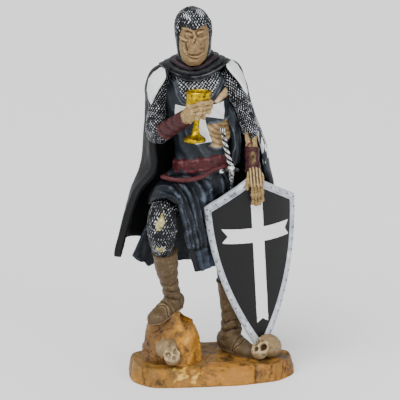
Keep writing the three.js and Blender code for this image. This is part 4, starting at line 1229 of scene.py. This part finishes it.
cape_paint = painted(
    "black_cape_paint",
    [(None, "#030304", "#0b0c0e", "#3a3d43", 0.0), ("white", "#b4b6bb", "#dddedf", "#f6f6f6", 0.0)],
    grit=0.8,
    uneven=8,
    gloss=(0.5, 0.66),
    bump=0.12,
)
frayed = both(step(0.8, 0.88, u) * step(0.26, 0.34, v) * step(0.82, 0.62, v))
streaks = frayed * (1.1 + 1.1 * grain(cloth * [1, 1, 0.35], 1.7, 127))
wear_and_sheen = np.clip(crest(cloth, 2, 1.4), -1, 0.35) + streaks
skin("cape", [{"points": cloth, "relief": wear_and_sheen, "white": np.maximum(arms, streaks - 1.1)}], cape_paint)

# Cowl
# A collar of cloth in three soft rolls round the neck, sagging at the front. It lies on the shoulders of the
# cape, is cast with the figure, and is painted black with grey highlights.
rolls = 3
section = np.linspace(0, 1, 84)
share = np.interp(section, [0, 0.8, 0.86, 0.94, 1], [0, 1, 0.95, 0.2, 0])
lift = np.interp(section, [0, 0.8, 0.86, 0.94, 1], [0, 0, -3, -3, 0])


def cowl_ring(angle):
    """Sections of the collar at each angle round the neck: rolls are arcs of |cosine|, and the level sinks
    towards the front."""
    s, c = np.sin(angle), np.cos(angle)
    sag = ((1 + c) / 2) ** 5
    shift = 0.05 * np.sin(2 * angle + 1) + 0.04 * np.sin(3 * angle)
    swell = 1.2 * np.abs(np.cos(np.pi * (rolls * share + shift))) ** 0.7
    swell = np.where(section < 0.8, swell, lift)
    x = -11 + (9.5 + 11.9 * share + swell) * s
    y = 5 - (9 + 7 * share + swell) * c
    z = (198 - 6.4 * share) * (1 - sag) + (192.6 - 8.2 * share) * sag + 1.2 * s + swell
    return np.stack([x, y, z], -1)


around_neck = np.linspace(0, 2 * np.pi, 201)[:, None]
collar = cowl_ring(around_neck)
collar = raised(collar, 0.25 * rough(collar, 4, 131))
collar[-1] = collar[0]
cowl_paint = painted(
    "black_cowl_paint",
    [(None, "#050506", "#1b1c1f", "#54565a", 0.0), ("lining", "#0c0708", "#2b1f24", "#5d4a52", 0.0)],
    grit=0.7,
    uneven=6,
    gloss=(0.34, 0.5),
    bump=0.12,
)
lining = 0.3 - np.abs(share - 0.3) * 4 + 0.6 * np.cos(around_neck) - 0.7 * (section > 0.8)
skin("cowl", [{"points": collar, "relief": crest(collar, 1.4, 1.8), "lining": lining}], cowl_paint)

# Head
# A mail hood with a dip over the brow, and in its opening a gaunt skull face: heavy brows, sunken eyes, a
# short nose, hollow cheeks and a wide mouth, painted bone and washed brown.
hood_stations = [
    (-11.2, 5.5, 188, 9.6, 9.6),
    (-11.2, 5, 198, 10, 11.4),
    (-11.6, 3, 206, 10.7, 13),
    (-12.1, 1.6, 214, 11.3, 14.6),
    (-12.4, 1.4, 220, 10.4, 13.6),
    (-12.4, 2.2, 225, 6.8, 9),
    (-12.3, 2.8, 227.4, 1.2, 1.5),
]
face_stations = [
    (-11.2, -6.8, 192.2, 3.6, 5.6),
    (-11.4, -6.4, 195.6, 7.2, 8.4),
    (-11.5, -5.6, 201, 8.7, 9.4),
    (-11.3, -5, 208, 9.3, 9.8),
    (-11.3, -3.4, 214, 9, 9.6),
    (-11.2, -1, 218, 6, 6),
]
rim = [
    (-20.2, 212.5), (-19.9, 216.5), (-17.7, 217.1), (-15, 216.2), (-12.5, 215.1), (-10.9, 214.7),
    (-9.4, 215.2), (-7, 216.8), (-4.5, 218), (-2.7, 218.2), (-2, 214.4), (-2, 208), (-2.4, 202),
    (-3.9, 195), (-7, 190), (-15, 190), (-18.1, 194), (-20, 199), (-20.6, 205),
]
hood = limb(hood_stations, 176, 204)
opening = np.where(hood[..., 1] < 1, inside(hood, rim), -30)
border = step(-3.6, -3, opening) * step(212, 208, hood[..., 2])
rings = mailed(hood) * (1 - border)
brim = bell(opening + 0.8, 0.9)
hood = raised(hood, ring_depth * rings + 0.8 * brim - 3 * step(-0.2, 1.6, opening))
view = hood[..., [0, 2]]
# Painted highlight: two bright strokes on the front of the crown, the top of the hood lit from above.
crown_highlight = line(view, [(-16.2, 223.4), (-13.6, 221)], 1.5)
crown_highlight = np.maximum(crown_highlight, line(view, [(-9, 225.6), (-6.6, 223.6)], 1.5))
wear_and_sheen = mail_brush * rings - mail_wash - 0.1 + 0.8 * crown_highlight * step(0, -6, hood[..., 1])
wear_and_sheen = np.where(border > 0.5, -0.15 + 0.35 * brim, wear_and_sheen)
skin("mail_hood", [{"points": hood, "relief": wear_and_sheen}], mail_paint, crease=180)

# The face's lines on its front view: a height, a width and a path of X and Z places. The brows, lids,
# cheekbones, upper jaw, lips and chin stand up, and the creases, the socket's rim, the nostrils and the
# mouth are cut in.
face_lines = [
    (0.6, 0.9, [(-17.9, 215.7), (-15.2, 215.7), (-13.6, 214.8), (-11.5, 213.5)]),
    (-0.7, 0.5, [(-17.0, 213.9), (-14.9, 214.1), (-12.5, 213.4)]),
    (0.4, 1.0, [(-16.6, 212.4), (-13.1, 212.2)]),
    (-0.6, 0.45, [(-14.8, 211.0), (-13.9, 210.7), (-12.4, 210.9)]),
    (-0.6, 0.45, [(-17.0, 212.7), (-17.2, 211.2), (-16.6, 210.0), (-15.6, 209.5), (-14.5, 209.4)]),
    (-0.5, 0.4, [(-13.4, 209.9), (-12.3, 210.2)]),
    (0.8, 0.8, [(-11.2, 213.3), (-10.8, 210.3), (-11.4, 208.4)]),
    (-0.7, 0.5, [(-5.5, 215.0), (-8.6, 214.8), (-10.0, 213.6), (-9.7, 212.0), (-8.7, 211.1), (-6.7, 210.6),
                 (-5.1, 210.8)]),
    (0.5, 0.7, [(-8.5, 213.1), (-6.4, 213.5)]),
    (-0.35, 0.4, [(-8.3, 212.1), (-5.8, 212.5)]),
    (0.8, 0.8, [(-19.5, 210.1), (-17.6, 208.8), (-15.9, 208.4)]),
    (-0.8, 0.45, [(-18.4, 207.9), (-16.7, 207.5), (-15.1, 207.8)]),
    (0.6, 0.8, [(-6.6, 209.7), (-4.9, 210.2), (-3.5, 210.3)]),
    (-0.7, 0.45, [(-10.6, 209.3), (-10.4, 208.6)]),
    (-0.8, 0.45, [(-11.2, 207.7), (-10.9, 207.4)]),
    (0.7, 0.5, [(-12.3, 207.9), (-12.1, 207.3)]),
    (0.4, 0.5, [(-9.7, 207.8), (-9.3, 207.4)]),
    (-1.0, 0.6, [(-16.5, 206.5), (-16.3, 204.5), (-15.6, 202.7)]),
    (0.6, 1.8, [(-14.1, 206.1), (-12.3, 204.7), (-12.8, 202.6)]),
    (0.7, 0.6, [(-17.6, 204.0), (-16.9, 201.6), (-15.6, 200.1)]),
    (-0.6, 0.6, [(-18.4, 204.5), (-18.2, 201.4), (-17.2, 199.7)]),
    (0.4, 0.7, [(-8.0, 209.1), (-6.4, 207.6), (-5.5, 204.4)]),
    (-0.5, 0.5, [(-4.7, 208.6), (-4.4, 204.9), (-5.4, 201.3)]),
    (0.4, 0.6, [(-14.6, 201.2), (-12.9, 200.6), (-10.1, 200.9), (-7.6, 202.1)]),
    (-0.6, 0.45, [(-16.0, 200.8), (-14.6, 199.8), (-11.9, 199.5), (-8.8, 199.6), (-6.0, 201.1)]),
    (0.6, 0.55, [(-14.0, 199.1), (-11.9, 198.8), (-8.8, 198.4)]),
    (-0.7, 0.45, [(-15.3, 199.1), (-12.9, 197.8), (-10.2, 197.1), (-8.5, 197.9)]),
    (0.4, 0.8, [(-7.1, 199.2), (-5.4, 200.9)]),
    (0.6, 1.8, [(-13.1, 196.0), (-9.8, 195.5)]),
]
face = limb(face_stations, 170, 180)
view = face[..., [0, 2]]
height = sum(deep * line(view, path, wide) for deep, wide, path in face_lines)
pitted = bell(face[..., 0] + 7.4, 2.6) * bell(face[..., 2] - 205.2, 4)
height += 0.55 * pitted * grain(face, 1.2, 142) + 0.14 * rough(face, 2.2, 141)
front_of_face = step(-1, -6, face[..., 1])
face = raised(face, height * front_of_face)
face_paint = painted(
    "gaunt_face_paint",
    [(None, "#412f1a", "#7b6343", "#a2875f", 0.0), ("sallow", "#433818", "#766a3e", "#9c8f5c", 0.0)],
    grit=0.5,
    uneven=4,
    bump=0.15,
)
sallow = 0.1 + 0.012 * (198 - face[..., 2]) + 0.05 * (np.abs(face[..., 0] + 11.3) - 7)
wear_and_sheen = crest(face, 1, 1.2) + 0.2 * rough(face, 3, 143)
skin("face", [{"points": face, "relief": wear_and_sheen, "sallow": sallow}], face_paint)

# Shield
# A separate casting glued in under the hand: a heater shape bent round an upright axis, with a raised rim
# and rivets in silver, a black field and a plain white cross with notched ends.
shield_length = 126.5
shield_corner = 105.9
shield_half = 31.3
shield_thickness = 3.6
shield_rim_width = 4.4
shield_rim_height = 0.9
shield_curve = 45
shield_foot = np.array([32.3, 2.3, 0.35])
shield_angles = np.radians([8.3, -5.8, 15])
shield_heart = 0.56 * shield_length


def on_shield(across, up, out):
    """A place by its distance across the face, up from the foot, and out from the middle of the wall."""
    bend = across / shield_curve
    reach = shield_curve + out
    flat = np.stack([reach * np.sin(bend), shield_curve - reach * np.cos(bend), up + 0 * bend], -1)
    return turned(flat, *shield_angles) + shield_foot


def shield_outline(count):
    """Across and up, once round: each side's half width is 1 - (1 - t) to the 1.83, from the foot to the
    corner, and the top is two straight slopes. Its points are evenly spaced."""
    t = np.linspace(0, 1, 400) ** 1.3
    side = np.stack([shield_half * (1 - (1 - t) ** 1.83), shield_corner * t], -1)
    s = np.linspace(0, 1, 60)[1:]
    gable = np.stack([shield_half * (1 - s), shield_corner + (shield_length - shield_corner) * s], -1)
    right = np.concatenate([side, gable])
    left = right[1:-1][::-1] * [-1, 1]
    whole = np.concatenate([right, left, right[:1]])
    way = np.concatenate([[0], np.cumsum(np.linalg.norm(np.diff(whole, axis=0), axis=-1))])
    even = np.linspace(0, way[-1], count, endpoint=False)
    return np.stack([np.interp(even, way, whole[:, n]) for n in (0, 1)], -1)


rim_line = shield_outline(320)


def shield_ring(inset, out, share=0.0):
    """The outline drawn in by an inset towards the heart of the face, then shrunk by a share, at a height
    out from the wall's middle."""
    a, b = rim_line[:, 0], rim_line[:, 1]
    above = (b - shield_heart) / np.where(b > shield_heart, shield_length - shield_heart, shield_heart)
    a = a * (1 - inset / shield_half)
    b = b - inset * np.where(above > 0, 0.95 * above**2, 2.1 * above)
    a, b = a * (1 - share), b + (shield_heart - b) * share
    return np.stack([a, b, out + 0 * a], -1)


# The shield's rings, each with its inset, height and share: over the back to its edge, round the wall, and
# over the raised rim to the middle of the front.
face_level = shield_thickness / 2
rim_section = [
    (1.0, 0.6), (1.4, 0.85), (1.8, 0.9), (2.4, 0.9), (3, 0.9), (3.5, 0.85), (3.9, 0.6), (4.15, 0.2), (4.4, 0),
]
back_face = [(shield_rim_width, -face_level, s) for s in np.linspace(0.99, 0, 24)]
back_edge = [(w, -face_level, 0) for w in np.linspace(shield_rim_width, 0.3, 8)[1:]]
wall = [(0, -face_level + 0.3, 0), (0, 0, 0), (0, face_level - 0.4, 0), (0.3, face_level + 0.1, 0)]
raised_rim = [(w, face_level + h, 0) for w, h in rim_section]
front_face = [(shield_rim_width, face_level, s) for s in np.linspace(0, 0.99, 64)[1:]]
profile = back_face + back_edge + wall + raised_rim + front_face
row = np.arange(len(profile))[:, None]
rim_starts = len(back_face) + 3
rim_ends = len(profile) - len(front_face)
flat = np.stack([shield_ring(*p) for p in profile])
across, up, out = np.moveaxis(flat, -1, 0)
points = on_shield(across, up, out)


def bar(middle_a, middle_b, half, notch):
    """Distance into a straight bar between two places on the face, with a notch cut into each end."""
    a, b = np.array(middle_a, float), np.array(middle_b, float)
    length = np.linalg.norm(b - a)
    ahead = ((across - a[0]) * (b[0] - a[0]) + (up - a[1]) * (b[1] - a[1])) / length
    aside = np.abs((across - a[0]) * (b[1] - a[1]) - (up - a[1]) * (b[0] - a[0])) / length
    start = ahead - notch[0] * (1 - aside / half)
    finish = length - ahead - notch[1] * (1 - aside / half)
    return np.minimum.reduce([half - aside, start, finish])


white = np.maximum(bar((1.7, 108), (1.8, 24), 3.75, (0, 3)), bar((-21.2, 86.8), (23.8, 85.8), 5.1, (4, 3)))
white = np.where(row > rim_ends - 5, white + 0.12 * grain(points, 1.2, 151), -9)
silver = np.where((row >= rim_starts) & (row <= rim_ends), 1.0, -1.0)
points = raised(points, 0.06 * rough(points, 3, 153) + 0.03 * rough(points, 1, 154))
shield_paint = painted(
    "shield_paint",
    [
        (None, "#0c0c0d", "#161617", "#242425", 0.0),
        ("silver", "#5c6068", "#b4b8c0", "#f4f5f7", 0.1),
        ("white", "#cfd0cf", "#e6e6e5", "#fbfbfb", 0.0),
    ],
    grit=0.7,
    uneven=9,
    gloss=(0.38, 0.52),
)
brushed = 0.35 * rough(points, 2.2, 155) + 0.5 * bell(out - face_level - 0.55, 0.3) * (row > rim_ends - 3)
wear_and_sheen = crest(points, 1.2, 1.4) + brushed * (silver > 0)
body = {"points": points, "relief": wear_and_sheen, "silver": silver, "white": white}
rivet_every = 8
rivet_radius = 0.7
rivet_rise = 0.5
rivets = []
t, angle = over(6, 10)
tilt = t * np.pi * 0.98 + 0.01
for a, b, level in shield_ring(2.4, face_level + shield_rim_height)[::rivet_every]:
    dome_across = a + rivet_radius * np.sin(tilt) * np.sin(angle)
    dome_up = b + rivet_radius * np.sin(tilt) * np.cos(angle)
    dome = on_shield(dome_across, dome_up, level + rivet_rise * np.cos(tilt))
    rivets.append({"points": dome, "relief": -0.4, "silver": 1.0})
skin("shield_face", [body], shield_paint, node="shield", crease=40)
skin("shield_rivets", rivets, shield_paint, node="shield", crease=180)
